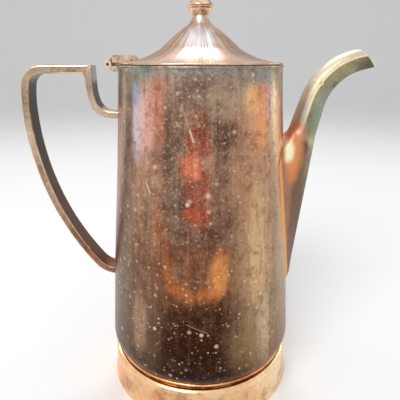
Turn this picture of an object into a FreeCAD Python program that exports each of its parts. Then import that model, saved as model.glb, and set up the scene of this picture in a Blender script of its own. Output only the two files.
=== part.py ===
import FreeCAD, Part

import math
import os

import Sketcher
from FreeCAD import Vector

# A hinged-lid coffee pot of silver-plated copper, standing on a flared foot.
# Millimetres and degrees. +Z is up, +X runs towards the spout and -X towards the handle.
# The origin is the centre of the foot's circle on the table.

SIZES = {
    # body: one spun wall, narrow at the rim and widest just above the foot
    "rim_height": 197.0,
    "rim_radius": 45.0,
    "waist_height": 102.0,
    "waist_radius": 52.6,
    "belly_height": 34.0,
    "belly_radius": 57.8,
    "heel_height": 23.0,
    "heel_radius": 52.2,
    "heel_land": 1.65,
    "flank_curve": 3000.0,
    "belly_curve": 3500.0,
    "shoulder_curve": 13.6,
    "wall": 0.9,
    "mouth_wire_proud": 0.5,
    "mouth_wire_depth": 1.2,
    # bottom disc, pushed up in the middle
    "bottom_thick": 1.0,
    "bottom_flat": 4.0,
    "bottom_slope": 8.0,
    "bottom_rise": 2.0,
    # pierced strainer behind the spout
    "strainer_hole": 1.8,
    "strainer_pitch": 7.0,
    "strainer_rise": 6.5,
    "strainer_foot": 106.0,
    "strainer_rows": 6.0,
    "strainer_reach": 9.0,
    # foot: a spun skirt with a rounded top, a collar, a bead and an edge wire
    "foot_radius": 58.8,
    "foot_waist_radius": 57.3,
    "foot_waist_height": 18.0,
    "foot_top_radius": 55.2,
    "foot_top_height": 21.7,
    "foot_collar_radius": 54.0,
    "foot_wall": 1.1,
    "foot_flare_curve": 90.0,
    "foot_round_curve": 3.9,
    "foot_wire": 1.3,
    "bead_ring_radius": 54.6,
    "bead_ring_height": 24.5,
    "bead_radius": 0.8,
    # lid: a wire edge, an ogee shell, a bezel that drops into the mouth
    "lid_gap": 0.3,
    "lid_wire_height": 0.95,
    "lid_wire_width": 1.3,
    "lid_wire_radius": 45.2,
    "lid_wire_round": 0.3,
    "lid_wall": 0.9,
    "lid_flare_radius": 21.5,
    "lid_flare_height": 8.3,
    "lid_sweep_curve": 44.0,
    "lid_flank_curve": 110.0,
    "lid_neck_base_radius": 6.5,
    "lid_neck_base_height": 20.3,
    "lid_neck_radius": 3.9,
    "lid_neck_curve": 7.4,
    "lid_top_height": 25.0,
    "bezel_gap": 0.7,
    "bezel_wall": 0.8,
    "bezel_depth": 6.0,
    # finial: a turned cup and a cap on a stud, held by a nut inside the lid
    "stud_radius": 1.5,
    "stud_reach": 9.5,
    "stud_tail": 3.6,
    "cup_seat_radius": 4.6,
    "cup_height": 3.0,
    "cup_radius": 6.3,
    "cup_curve": 7.0,
    "cup_ring_radius": 6.7,
    "cup_ring_height": 0.7,
    "finial_groove": 0.35,
    "cap_brim_radius": 6.9,
    "cap_brim_height": 0.5,
    "cap_shoulder": 0.35,
    "cap_cone_height": 8.0,
    "cap_tip_radius": 1.44,
    "cap_cone_curve": 40.0,
    "ball_radius": 2.4,
    "ball_rise": 4.32,
    "washer_radius": 4.0,
    "washer_thick": 0.6,
    "nut_flats": 5.5,
    "nut_thick": 2.4,
    # hinge: three knuckles on a pin
    "hinge_reach": 49.6,
    "hinge_rise": 0.4,
    "hinge_width": 18.0,
    "lid_knuckle_width": 7.8,
    "knuckle_radius": 1.95,
    "knuckle_gap": 0.35,
    "pin_radius": 0.8,
    "pin_clearance": 0.05,
    "pin_recess": 0.5,
    "tab_width": 16.0,
    "tab_length": 12.4,
    "tab_top": 4.7,
    "tab_chamfer": 1.9,
    "tab_lift": 1.0,
    "leaf_clearance": 0.4,
    "leaf_top": 0.45,
    "leaf_drop": 4.0,
    "leaf_sink": 3.5,
    # handle: a flat strap bow and the scroll that carries its upper end
    "strap_width": 12.0,
    "strap_thick": 4.4,
    "strap_bevel": 0.7,
    "bow_front": 59.5,
    "bow_height": 194.8,
    "bow_run": 27.4,
    "bow_corner_curve": 10.0,
    "bow_corner_turn": 80.0,
    "bow_back_curve": 80.0,
    "bow_back_turn": 10.0,
    "bow_sweep_curve": 155.0,
    "bow_sweep_turn": 38.0,
    "bow_tail_curve": 16.0,
    "bow_tail_turn": 40.0,
    "bow_tail_run": 4.5,
    "mitre_length": 4.7,
    "scroll_thick": 3.8,
    "scroll_bevel": 0.5,
    "scroll_throat": 3.5,
    "scroll_drop": 3.0,
    "scroll_upper_curve": 30.4,
    "scroll_upper_turn": 17.0,
    "scroll_lower_curve": 9.9,
    "scroll_lower_turn": 70.0,
    "scroll_run": 8.0,
    # spout: two pressed halves joined along the middle, wide at the root and narrow at the lip
    "spout_wall": 1.0,
    "spout_foot_height": 60.0,
    "spout_foot_reach": 1.6,
    "spout_crotch_height": 156.4,
    "spout_crotch_reach": 1.2,
    "spout_root_half": 23.5,
    "spout_root_sink": 5.0,
    "spout_crotch_half": 13.5,
    "spout_crotch_depth": 18.2,
    "spout_lean": 14.5,
    "spout_neck_rise": 5.5,
    "spout_neck_depth": 16.4,
    "spout_neck_half": 8.4,
    "spout_rise": 23.2,
    "spout_bend_depth": 14.7,
    "spout_bend_half": 7.0,
    "spout_bend_curve": 31.5,
    "spout_bend_turn": 65.0,
    "spout_mouth_depth": 10.4,
    "spout_mouth_half": 5.3,
    "spout_lip_run": 7.6,
    "spout_lip_slant": 40.0,
    "spout_crease": 0.3,
}

LABELS = []
doc = FreeCAD.newDocument("coffee_pot")


# ---------------------------------------------------------------- sizes and bindings

def fill_sheet():
    """Write every size into the spreadsheet: its name in column A, its number in column B."""
    sheet = doc.addObject("Spreadsheet::Sheet", "Sizes")
    for row, (name, number) in enumerate(SIZES.items(), start=1):
        sheet.set(f"A{row}", name)
        sheet.set(f"B{row}", str(number))
        sheet.setAlias(f"B{row}", name)
    doc.recompute()
    return sheet


sheet = fill_sheet()


def size(name):
    """A size as the spreadsheet holds it."""
    return float(sheet.get(name))


def amount(formula):
    """The number that a formula stands for: names and numbers joined by + - and *, spaced out."""
    total = 0.0
    sign = 1.0
    for term in formula.split():
        if term in ("+", "-"):
            sign = 1.0 if term == "+" else -1.0
            continue
        product = sign
        for factor in term.split("*"):
            product *= size(factor) if factor in SIZES else float(factor)
        total += product
        sign = 1.0
    return total


def linked(formula):
    """The same formula with each name pointing at its cell."""
    terms = []
    for term in formula.split():
        factors = [f"Sizes.{f}" if f in SIZES else f for f in term.split("*")]
        terms.append(" * ".join(factors))
    return " ".join(terms)


def bind(thing, **formulas):
    """Tie properties of an object to cells."""
    for name, formula in formulas.items():
        thing.setExpression(name, linked(formula))


def finish(thing, label):
    """Name a finished sub-part."""
    thing.Label = label
    LABELS.append(thing)
    return thing


# ---------------------------------------------------------------- sketches

def new_body(name):
    body = doc.addObject("PartDesign::Body", name)
    body.Label = name
    return body


def new_sketch(body, name, plane):
    sketch = body.newObject("Sketcher::SketchObject", name)
    planes = {feature.Role: feature for feature in body.Origin.OriginFeatures}
    sketch.AttachmentSupport = [(planes[plane], "")]
    sketch.MapMode = "FlatFace"
    return sketch


def hold(sketch, kind, *where, formula):
    """Add a constraint and tie its value to a formula."""
    number = amount(formula)
    value = math.radians(number) if kind == "Angle" else number
    index = sketch.addConstraint(Sketcher.Constraint(kind, *where, value))
    sketch.setExpression(f"Constraints[{index}]", linked(formula))


def hold_point(sketch, edge, end, across, up):
    """Fix a point of the sketch by its two distances from the origin."""
    hold(sketch, "DistanceX", -1, 1, edge, end, formula=across)
    hold(sketch, "DistanceY", -1, 1, edge, end, formula=up)


def arc_between(start, end, radius):
    """The short arc between two points, and whether it turns anticlockwise.

    A positive radius turns anticlockwise from start to end, a negative one clockwise.
    """
    chord = end - start
    half = chord.Length / 2
    side = Vector(-chord.y, chord.x, 0).normalize()
    reach = math.sqrt(radius * radius - half * half)
    left_turn = radius > 0
    centre = start + chord * 0.5 + side * (reach if left_turn else -reach)
    first, last = (start, end) if left_turn else (end, start)
    angles = [math.atan2(p.y - centre.y, p.x - centre.x) for p in (first, last)]
    if angles[1] < angles[0]:
        angles[1] += 2 * math.pi
    circle = Part.Circle(centre, Vector(0, 0, 1), abs(radius))
    return Part.ArcOfCircle(circle, *angles), left_turn


def draw_outline(sketch, corners):
    """Draw a closed outline. A corner is (across, up), or (across, up, curve, sign).

    The curve is the radius of the arc that arrives at that corner, and the sign its way of turning.
    """
    points = [Vector(amount(c[0]), amount(c[1]), 0) for c in corners]
    first_edge = sketch.GeometryCount
    ends = []
    for i, start in enumerate(points):
        arriving = corners[(i + 1) % len(corners)]
        end = points[(i + 1) % len(corners)]
        if len(arriving) == 2:
            edge = sketch.addGeometry(Part.LineSegment(start, end))
            ends.append((1, 2))
            continue
        arc, left_turn = arc_between(start, end, arriving[3] * amount(arriving[2]))
        edge = sketch.addGeometry(arc)
        hold(sketch, "Radius", edge, formula=arriving[2])
        ends.append((1, 2) if left_turn else (2, 1))
    for i, corner in enumerate(corners):
        following = (i + 1) % len(corners)
        sketch.addConstraint(Sketcher.Constraint(
            "Coincident", first_edge + i, ends[i][1], first_edge + following, ends[following][0]))
        hold_point(sketch, first_edge + i, ends[i][0], corner[0], corner[1])


def draw_circle(sketch, across, up, radius):
    circle = Part.Circle(Vector(amount(across), amount(up), 0), Vector(0, 0, 1), amount(radius))
    edge = sketch.addGeometry(circle)
    hold(sketch, "Radius", edge, formula=radius)
    hold_point(sketch, edge, 3, across, up)


def draw_path(sketch, across, up, heading, legs):
    """Draw a run of lines and left-turning arcs, each tangent to the last.

    A leg is (length,) for a line or (radius, turn) for an arc.
    """
    place = Vector(amount(across), amount(up), 0)
    angle = math.radians(heading)
    for number, leg in enumerate(legs):
        ahead = Vector(math.cos(angle), math.sin(angle), 0)
        if len(leg) == 1:
            end = place + ahead * amount(leg[0])
            edge = sketch.addGeometry(Part.LineSegment(place, end))
            hold(sketch, "Distance", edge, 1, edge, 2, formula=leg[0])
        else:
            radius = amount(leg[0])
            turn = math.radians(amount(leg[1]))
            centre = place + Vector(-ahead.y, ahead.x, 0) * radius
            from_angle = angle - math.pi / 2
            circle = Part.Circle(centre, Vector(0, 0, 1), radius)
            edge = sketch.addGeometry(Part.ArcOfCircle(circle, from_angle, from_angle + turn))
            hold(sketch, "Radius", edge, formula=leg[0])
            hold(sketch, "Angle", edge, formula=leg[1])
            angle += turn
            end = centre + Vector(math.sin(angle), -math.cos(angle), 0) * radius
        if number == 0:
            hold_point(sketch, edge, 1, across, up)
            sketch.addConstraint(Sketcher.Constraint(
                "Vertical" if heading == 270 else "Horizontal", edge))
        else:
            sketch.addConstraint(Sketcher.Constraint("Tangent", edge - 1, 2, edge, 1))
        place = end


# ---------------------------------------------------------------- kinds of piece

def turned(name, corners):
    """A solid of revolution about Z from an outline of (radius, height) corners.

    It is drawn on the YZ plane, so that its seam lies at the back, where nothing is joined on.
    """
    body = new_body(name)
    sketch = new_sketch(body, name + "_outline", "YZ_Plane")
    draw_outline(sketch, corners)
    spin = body.newObject("PartDesign::Revolution", name + "_spin")
    spin.Profile = sketch
    spin.ReferenceAxis = (sketch, ["V_Axis"])
    spin.Angle = 360
    doc.recompute()
    return body


def pad(body, name, width, corners=None, circle=None):
    """Pad an outline or a circle of the XZ plane evenly to both sides."""
    sketch = new_sketch(body, name + "_outline", "XZ_Plane")
    if corners:
        draw_outline(sketch, corners)
    else:
        draw_circle(sketch, *circle)
    feature = body.newObject("PartDesign::Pad", name)
    feature.Profile = sketch
    feature.SideType = "Symmetric"
    bind(feature, Length=width)
    doc.recompute()
    return feature


def pocket(body, name, width, corners=None, circle=None):
    """Cut an outline or a circle of the XZ plane evenly to both sides."""
    before = body.Shape.Volume
    sketch = new_sketch(body, name + "_outline", "XZ_Plane")
    if corners:
        draw_outline(sketch, corners)
    else:
        draw_circle(sketch, *circle)
    feature = body.newObject("PartDesign::Pocket", name)
    feature.Profile = sketch
    feature.SideType = "Symmetric"
    bind(feature, Length=width)
    doc.recompute()
    if body.Shape.Volume >= before:
        raise RuntimeError(name + " cuts nothing")
    return feature


def cut(name, base, *tools):
    """The base with each tool taken away in turn."""
    result = base
    for number, tool in enumerate(tools, start=1):
        step = doc.addObject("Part::Cut", name if number == len(tools) else f"{name}_step_{number}")
        step.Base = result
        step.Tool = tool
        result = step
    doc.recompute()
    return result


def strap(body, name, thick, bevel, start, across, up, heading, legs):
    """Sweep the bevelled strap section along a path in the XZ plane.

    The path starts at (across, up), and the section's plane stands square to it.
    """
    path = new_sketch(body, name + "_path", "XZ_Plane")
    draw_path(path, across, up, heading, legs)
    upright = heading == 270
    section = new_sketch(body, name + "_section", "XY_Plane" if upright else "YZ_Plane")
    section.setExpression("AttachmentOffset.Base.z", linked(start))
    half = f"0.5*{thick}"
    middle = across if upright else up
    low, high = f"{middle} - {half}", f"{middle} + {half}"
    edge = "0.5*strap_width"
    corners = [
        (f"{low} + {bevel}", f"-1*{edge}"),
        (f"{high} - {bevel}", f"-1*{edge}"),
        (high, f"{bevel} - {edge}"),
        (high, f"{edge} - {bevel}"),
        (f"{high} - {bevel}", edge),
        (f"{low} + {bevel}", edge),
        (low, f"{edge} - {bevel}"),
        (low, f"{bevel} - {edge}"),
    ]
    if not upright:
        corners = [(side, rise) for rise, side in corners]
    draw_outline(section, corners)
    sweep = body.newObject("PartDesign::AdditivePipe", name)
    sweep.Profile = section
    sweep.Spine = (path, [])
    doc.recompute()
    return sweep


# ---------------------------------------------------------------- body and foot

BODY_FLANK = [
    ("rim_radius", "rim_height"),
    ("waist_radius", "waist_height", "flank_curve", 1),
    ("belly_radius", "belly_height", "belly_curve", -1),
    ("heel_radius", "heel_height", "shoulder_curve", -1),
]


def make_envelope():
    """The space inside the body's outer surface, which trims what is soldered to it."""
    return turned("body_envelope", [("0", "rim_height")] + BODY_FLANK + [("0", "heel_height")])


def make_body_shell():
    wall = turned("body_wall", BODY_FLANK + [
        ("heel_radius - heel_land", "heel_height"),
        ("belly_radius - wall", "belly_height", "shoulder_curve - wall", 1),
        ("waist_radius - wall", "waist_height", "belly_curve", 1),
        ("rim_radius - wall", "rim_height", "flank_curve", -1),
    ])
    rods = strainer_rods()
    shell = cut("body_shell", wall, *rods)
    bored = wall.Shape.Volume - shell.Shape.Volume
    wanted = len(rods) * math.pi * size("strainer_hole") ** 2 * size("wall")
    if not 0.8 < bored / wanted < 1.3:
        raise RuntimeError(f"the strainer's holes took {bored:.0f} mm3, and {wanted:.0f} was wanted")
    return finish(shell, "body_shell")


def strainer_rods():
    """Short rods across the wall, in rows, where the spout's root covers it."""
    rods = []
    for row in range(int(size("strainer_rows"))):
        columns = (-1.5, -0.5, 0.5, 1.5) if row % 2 else (-1, 0, 1)
        for column in columns:
            rod = doc.addObject("Part::Cylinder", f"strainer_rod_{len(rods)}")
            bind(rod, Radius="strainer_hole", Height="2*strainer_reach")
            rod.Placement.Rotation = FreeCAD.Rotation(Vector(0, 1, 0), 90)
            rod.setExpression("Placement.Base.x", linked("waist_radius - 1.5*strainer_reach"))
            rod.setExpression("Placement.Base.y", linked(f"{column}*strainer_pitch"))
            rod.setExpression("Placement.Base.z",
                              linked(f"strainer_foot + {row}*strainer_rise"))
            rods.append(rod)
    return rods


def make_body_bottom():
    rise = "heel_height + bottom_rise"
    flat = "heel_radius - bottom_flat"
    raised = f"{flat} - bottom_slope"
    return finish(turned("body_bottom", [
        ("0", f"{rise} - bottom_thick"),
        (raised, f"{rise} - bottom_thick"),
        (flat, "heel_height - bottom_thick"),
        ("heel_radius", "heel_height - bottom_thick"),
        ("heel_radius", "heel_height"),
        (flat, "heel_height"),
        (raised, rise),
        ("0", rise),
    ]), "body_bottom")


def make_mouth_wire(envelope):
    outer = "rim_radius + mouth_wire_proud"
    foot = "rim_height - mouth_wire_depth"
    blank = turned("mouth_wire_blank", [
        ("rim_radius - wall", foot),
        (outer, foot),
        (outer, "rim_height", "mouth_wire_depth", 1),
        ("rim_radius - wall", "rim_height"),
    ])
    return finish(cut("mouth_wire", blank, envelope), "mouth_wire")


def make_foot_skirt(envelope):
    blank = turned("foot_skirt_blank", [
        ("foot_radius", "0"),
        ("foot_waist_radius", "foot_waist_height", "foot_flare_curve", -1),
        ("foot_top_radius", "foot_top_height", "foot_round_curve", 1),
        ("foot_collar_radius", "foot_top_height"),
        ("foot_collar_radius", "heel_height + shoulder_curve*0.5"),
        ("foot_collar_radius - foot_wall", "heel_height + shoulder_curve*0.5"),
        ("foot_collar_radius - foot_wall", "foot_top_height - foot_wall"),
        ("foot_top_radius - foot_wall", "foot_top_height - foot_wall"),
        ("foot_waist_radius - foot_wall", "foot_waist_height - foot_wall", "foot_round_curve", -1),
        ("foot_radius - foot_wall", "0", "foot_flare_curve", 1),
    ])
    return finish(cut("foot_skirt", blank, envelope), "foot_skirt")


def make_foot_edge_wire():
    outer = "foot_radius - foot_wall"
    blank = turned("foot_edge_wire_blank", [
        (f"{outer} - foot_wire", "0"),
        (f"{outer} + foot_wall*0.5", "0"),
        (f"{outer} + foot_wall*0.5", "foot_wire"),
        (f"{outer} - foot_wire", "foot_wire"),
    ])
    return blank


def make_foot_bead(envelope):
    """A wire round the joint between the shoulder and the foot's collar."""
    ring = doc.addObject("Part::Torus", "foot_bead_blank")
    bind(ring, Radius1="bead_ring_radius", Radius2="bead_radius")
    ring.setExpression("Placement.Base.z", linked("bead_ring_height"))
    collar = doc.addObject("Part::Cylinder", "foot_bead_bore")
    bind(collar, Radius="foot_collar_radius", Height="rim_height")
    return finish(cut("foot_bead", ring, envelope, collar), "foot_bead")


# ---------------------------------------------------------------- lid and finial

LID_FOOT = "rim_height + lid_gap"
LID_EDGE = "lid_wire_radius - lid_wire_width"
LID_TOP = f"{LID_FOOT} + lid_top_height"
LID_CEILING = f"{LID_FOOT} + lid_neck_base_height - 0.8*lid_wall"
LID_FLANK = [
    (LID_EDGE, f"{LID_FOOT} + lid_wire_height"),
    ("lid_flare_radius", f"{LID_FOOT} + lid_flare_height", "lid_sweep_curve", -1),
    ("lid_neck_base_radius", f"{LID_FOOT} + lid_neck_base_height", "lid_flank_curve", 1),
    ("lid_neck_radius", LID_TOP, "lid_neck_curve", -1),
]


def make_lid_envelope():
    """The space under the lid's outer surface, which trims the hinge's tab."""
    return turned("lid_envelope", [
        ("0", "rim_height"),
        ("lid_wire_radius", "rim_height"),
        ("lid_wire_radius", f"{LID_FOOT} + lid_wire_height"),
    ] + LID_FLANK + [("0", LID_TOP)])


def make_lid_shell():
    return finish(turned("lid_shell", LID_FLANK + [
        ("stud_radius", LID_TOP),
        ("stud_radius", LID_CEILING),
        ("lid_neck_base_radius - 0.6*lid_wall", LID_CEILING),
        ("lid_flare_radius - 0.6*lid_wall",
         f"{LID_FOOT} + lid_flare_height - 0.8*lid_wall", "lid_flank_curve", -1),
        (LID_EDGE, f"{LID_FOOT} + lid_wire_height - lid_wall", "lid_sweep_curve", 1),
    ]), "lid_shell")


def make_lid_edge_wire():
    top = f"{LID_FOOT} + lid_wire_height"
    return finish(turned("lid_edge_wire", [
        (LID_EDGE, LID_FOOT),
        ("lid_wire_radius - lid_wire_round", LID_FOOT),
        ("lid_wire_radius", f"{LID_FOOT} + lid_wire_round", "lid_wire_round", 1),
        ("lid_wire_radius", f"{top} - lid_wire_round"),
        ("lid_wire_radius - lid_wire_round", top, "lid_wire_round", 1),
        (LID_EDGE, top),
    ]), "lid_edge_wire")


def make_lid_bezel():
    outer = "rim_radius - wall - bezel_gap"
    top = f"{LID_FOOT} + lid_wire_height - lid_wall"
    return finish(turned("lid_bezel", [
        (f"{outer} - bezel_wall", "rim_height - bezel_depth"),
        (outer, "rim_height - bezel_depth"),
        (outer, top),
        (f"{outer} - bezel_wall", top),
    ]), "lid_bezel")


CUP_TOP = f"{LID_TOP} + cup_height + finial_groove + cup_ring_height"


def make_finial_cup():
    ring_foot = f"{LID_TOP} + cup_height + finial_groove"
    return finish(turned("finial_cup", [
        ("stud_radius", LID_TOP),
        ("cup_seat_radius", LID_TOP),
        ("cup_radius", f"{LID_TOP} + cup_height", "cup_curve", 1),
        ("cup_radius - finial_groove", ring_foot),
        ("cup_ring_radius", ring_foot),
        ("cup_ring_radius", CUP_TOP),
        ("stud_radius", CUP_TOP),
    ]), "finial_cup")


def make_finial_cap():
    brim_foot = f"{CUP_TOP} + finial_groove"
    brim_top = f"{brim_foot} + cap_brim_height"
    cone_foot = f"{brim_top} + cap_shoulder"
    cone_top = f"{cone_foot} + cap_cone_height"
    return finish(turned("finial_cap", [
        ("0", f"{CUP_TOP} + stud_reach - cup_height"),
        ("stud_radius", f"{CUP_TOP} + stud_reach - cup_height"),
        ("stud_radius", CUP_TOP),
        ("cup_radius - finial_groove", CUP_TOP),
        ("cup_radius - finial_groove", brim_foot),
        ("cap_brim_radius", brim_foot),
        ("cap_brim_radius", brim_top),
        ("cap_brim_radius - cap_shoulder", cone_foot),
        ("cap_tip_radius", cone_top, "cap_cone_curve", -1),
        ("0", f"{cone_top} + ball_rise", "ball_radius", 1),
    ]), "finial_cap")


def make_finial_stud():
    """From the nut inside the lid to the bottom of the cap's blind bore."""
    stud = doc.addObject("Part::Cylinder", "finial_stud")
    length = "lid_top_height - lid_neck_base_height + 0.8*lid_wall + stud_tail"
    bind(stud, Radius="stud_radius",
         Height=f"{length} + finial_groove + cup_ring_height + stud_reach")
    stud.setExpression("Placement.Base.z", linked(f"{LID_CEILING} - stud_tail"))
    return finish(stud, "finial_stud")


def bored_under_lid(name, disc, top, thick):
    """Bore the disc for the stud and hang it under the lid, its top face at the given height."""
    disc.setExpression("Placement.Base.z", linked(f"{top} - {thick}"))
    bore = doc.addObject("Part::Cylinder", name + "_bore")
    bind(bore, Radius="stud_radius", Height="rim_height")
    bore.setExpression("Placement.Base.z", linked("0.5*rim_height"))
    return finish(cut(name, disc, bore), name)


def make_finial_washer():
    disc = doc.addObject("Part::Cylinder", "finial_washer_blank")
    bind(disc, Radius="washer_radius", Height="washer_thick")
    return bored_under_lid("finial_washer", disc, LID_CEILING, "washer_thick")


def make_finial_nut():
    hexagon = doc.addObject("Part::Prism", "finial_nut_blank")
    hexagon.Polygon = 6
    hexagon.setExpression("Circumradius", "Sizes.nut_flats / sqrt(3)")
    bind(hexagon, Height="nut_thick")
    return bored_under_lid("finial_nut", hexagon, f"{LID_CEILING} - washer_thick", "nut_thick")


# ---------------------------------------------------------------- hinge

PIVOT = ("-1*hinge_reach", "rim_height + hinge_rise")
BARE_KNUCKLE = (*PIVOT, "knuckle_radius")


def make_hinge_pin():
    pin = doc.addObject("Part::Cylinder", "hinge_pin")
    bind(pin, Radius="pin_radius", Height="hinge_width - 2*pin_recess")
    pin.setExpression("Placement.Base.x", linked(PIVOT[0]))
    pin.setExpression("Placement.Base.y", linked("0.5*hinge_width - pin_recess"))
    pin.setExpression("Placement.Base.z", linked(PIVOT[1]))
    pin.Placement.Rotation = FreeCAD.Rotation(Vector(1, 0, 0), 90)
    return finish(pin, "hinge_pin")


def make_hinge_body_leaf(envelope, mouth_wire):
    """A bracket on the body's wall with the two outer knuckles."""
    leaf = new_body("hinge_body_leaf_blank")
    top = "rim_height - leaf_top"
    foot = "rim_height - leaf_drop"
    inner = "leaf_sink + knuckle_radius + leaf_clearance - hinge_reach"
    pad(leaf, "leaf_plate", "hinge_width", corners=[
        ("0.6*knuckle_radius - hinge_reach", f"{foot} + 0.6*knuckle_radius"),
        (inner, foot),
        (inner, top),
        ("0.6*knuckle_radius - hinge_reach", top),
        ("-1*hinge_reach", PIVOT[1]),
        ("-0.8*knuckle_radius - hinge_reach", f"{PIVOT[1]} - 0.6*knuckle_radius"),
    ])
    pad(leaf, "outer_knuckles", "hinge_width", circle=BARE_KNUCKLE)
    pocket(leaf, "knuckle_slot", "lid_knuckle_width + 2*knuckle_gap",
           circle=(*PIVOT, "knuckle_radius + leaf_clearance"))
    pocket(leaf, "leaf_pin_bore", "2*hinge_width", circle=(*PIVOT, "pin_radius"))
    return finish(cut("hinge_body_leaf", leaf, envelope, mouth_wire), "hinge_body_leaf")


def make_hinge_lid_leaf(lid_envelope):
    """A tab on the lid's edge, with the middle knuckle curled round the pin."""
    leaf = new_body("hinge_lid_leaf_blank")
    back = "knuckle_radius + leaf_clearance - hinge_reach"
    front = f"{back} + tab_length"
    top = f"{LID_FOOT} + tab_top"
    foot = f"{LID_FOOT} + tab_lift"
    pad(leaf, "tab", "tab_width", corners=[
        (back, foot),
        (front, foot),
        (front, f"{top} - tab_chamfer"),
        (f"{front} - tab_chamfer", top),
        (f"{back} + 0.3*tab_chamfer", top),
        (back, f"{top} - 0.3*tab_chamfer"),
    ])
    pad(leaf, "knuckle_web", "lid_knuckle_width", corners=[
        ("-1*hinge_reach", PIVOT[1]),
        (f"{back} + tab_chamfer", foot),
        (f"{back} + tab_chamfer", top),
        (f"{back} + 0.3*tab_chamfer", top),
        ("-0.6*knuckle_radius - hinge_reach", f"{PIVOT[1]} + 0.8*knuckle_radius"),
    ])
    pad(leaf, "middle_knuckle", "lid_knuckle_width", circle=BARE_KNUCKLE)
    pocket(leaf, "lid_pin_bore", "2*hinge_width", circle=(*PIVOT, "pin_radius + pin_clearance"))
    return finish(cut("hinge_lid_leaf", leaf, lid_envelope), "hinge_lid_leaf")


# ---------------------------------------------------------------- handle

BOW_TOP = "bow_height + 0.5*strap_thick"
BOW_UNDERSIDE = "bow_height - 0.5*strap_thick"
MITRE_INNER = "-1*bow_front - mitre_length"


def make_handle_bow(envelope):
    """The strap from the mitred corner, over the top, down the back and in to the body."""
    bow = new_body("handle_bow_blank")
    strap(bow, "bow_strap", "strap_thick", "strap_bevel", "-1*bow_front",
          "-1*bow_front", "bow_height", 180,
          [("bow_run",),
           ("bow_corner_curve", "bow_corner_turn"),
           ("bow_back_curve", "bow_back_turn"),
           ("bow_sweep_curve", "bow_sweep_turn"),
           ("bow_tail_curve", "bow_tail_turn"),
           ("bow_tail_run",)])
    pocket(bow, "bow_mitre", "2*strap_width", corners=[
        (MITRE_INNER, BOW_UNDERSIDE),
        ("-1*bow_front", BOW_TOP),
        ("mitre_length - bow_front", BOW_TOP),
        ("mitre_length - bow_front", BOW_UNDERSIDE),
    ])
    return finish(cut("handle_bow", bow, envelope), "handle_bow")


def make_handle_scroll(envelope):
    """The lighter strap that drops from the mitre and curls in to the body."""
    scroll = new_body("handle_scroll_blank")
    throat = f"{BOW_UNDERSIDE} - scroll_throat"
    middle = "-1*bow_front - 0.5*scroll_thick"
    strap(scroll, "scroll_strap", "scroll_thick", "scroll_bevel", throat,
          middle, throat, 270,
          [("scroll_drop",),
           ("scroll_upper_curve", "scroll_upper_turn"),
           ("scroll_lower_curve", "scroll_lower_turn"),
           ("scroll_run",)])
    pad(scroll, "scroll_head", "strap_width", corners=[
        ("-1*bow_front", BOW_TOP),
        (MITRE_INNER, BOW_UNDERSIDE),
        ("-1*bow_front - scroll_thick", throat),
        ("-1*bow_front", throat),
    ])
    return finish(cut("handle_scroll", scroll, envelope), "handle_scroll")


# ---------------------------------------------------------------- spout

def body_radius(height):
    """The body's outer radius at a height, along the straight lines between its named rings."""
    rings = [("rim", "rim"), ("waist", "waist"), ("belly", "belly")]
    points = [(size(a + "_height"), size(b + "_radius")) for a, b in rings]
    for (high, upper), (low, lower) in zip(points, points[1:]):
        if height >= low:
            return lower + (upper - lower) * (height - low) / (high - low)
    return points[-1][1]


def smooth_edge(points, parameters, start_tangent=None):
    """A smooth edge through three points. Equal parameters let sections loft without a twist."""
    curve = Part.BSplineCurve()
    if start_tangent is None:
        curve.interpolate(Points=points, Parameters=parameters)
    else:
        curve.interpolate(Points=points, Parameters=parameters,
                          Tangents=[start_tangent] * len(points),
                          TangentFlags=[True] + [False] * (len(points) - 1), Scale=False)
    return curve.toShape()


def half_section(top, keel, flank_in, flank_half, crease_half):
    """The section of the left half: outside from top to keel, and back up along the inside.

    It is rounded over the top, creased along the flank and pointed at the keel below. The flank
    lies flank_in from the top, towards the keel.
    """
    down = (keel - top).normalize()
    depth = (keel - top).Length
    wall = size("spout_wall")
    crease_at = flank_in + (depth - flank_in) * size("spout_crease")

    def at(along, across):
        return top + down * along + Vector(0, across, 0)

    def over_and_under(inset):
        half = flank_half - inset
        crease = crease_half - inset
        crease_point = at(crease_at, crease)
        over = smooth_edge([at(inset, 0), at(flank_in, half), crease_point],
                           [0.0, 0.6, 1.0], Vector(0, 1.9 * half, 0))
        # The keel is sharp, so its inner corner lies deeper than the wall is thick.
        keel_inside = depth - 1.5 * inset
        under = smooth_edge([crease_point,
                             at(0.5 * (crease_at + keel_inside), 0.6 * crease),
                             at(keel_inside, 0)], [0.0, 0.5, 1.0])
        return over, under

    outer = over_and_under(0.0)
    inner = over_and_under(wall)
    return Part.Wire([
        outer[0], outer[1],
        Part.LineSegment(at(depth, 0), at(depth - 1.5 * wall, 0)).toShape(),
        inner[1], inner[0],
        Part.LineSegment(at(wall, 0), at(0, 0)).toShape()])


def square_to(angle):
    """Towards the keel, square to a path that leans by angle from upright."""
    return Vector(math.cos(angle), 0, -math.sin(angle))


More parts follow.
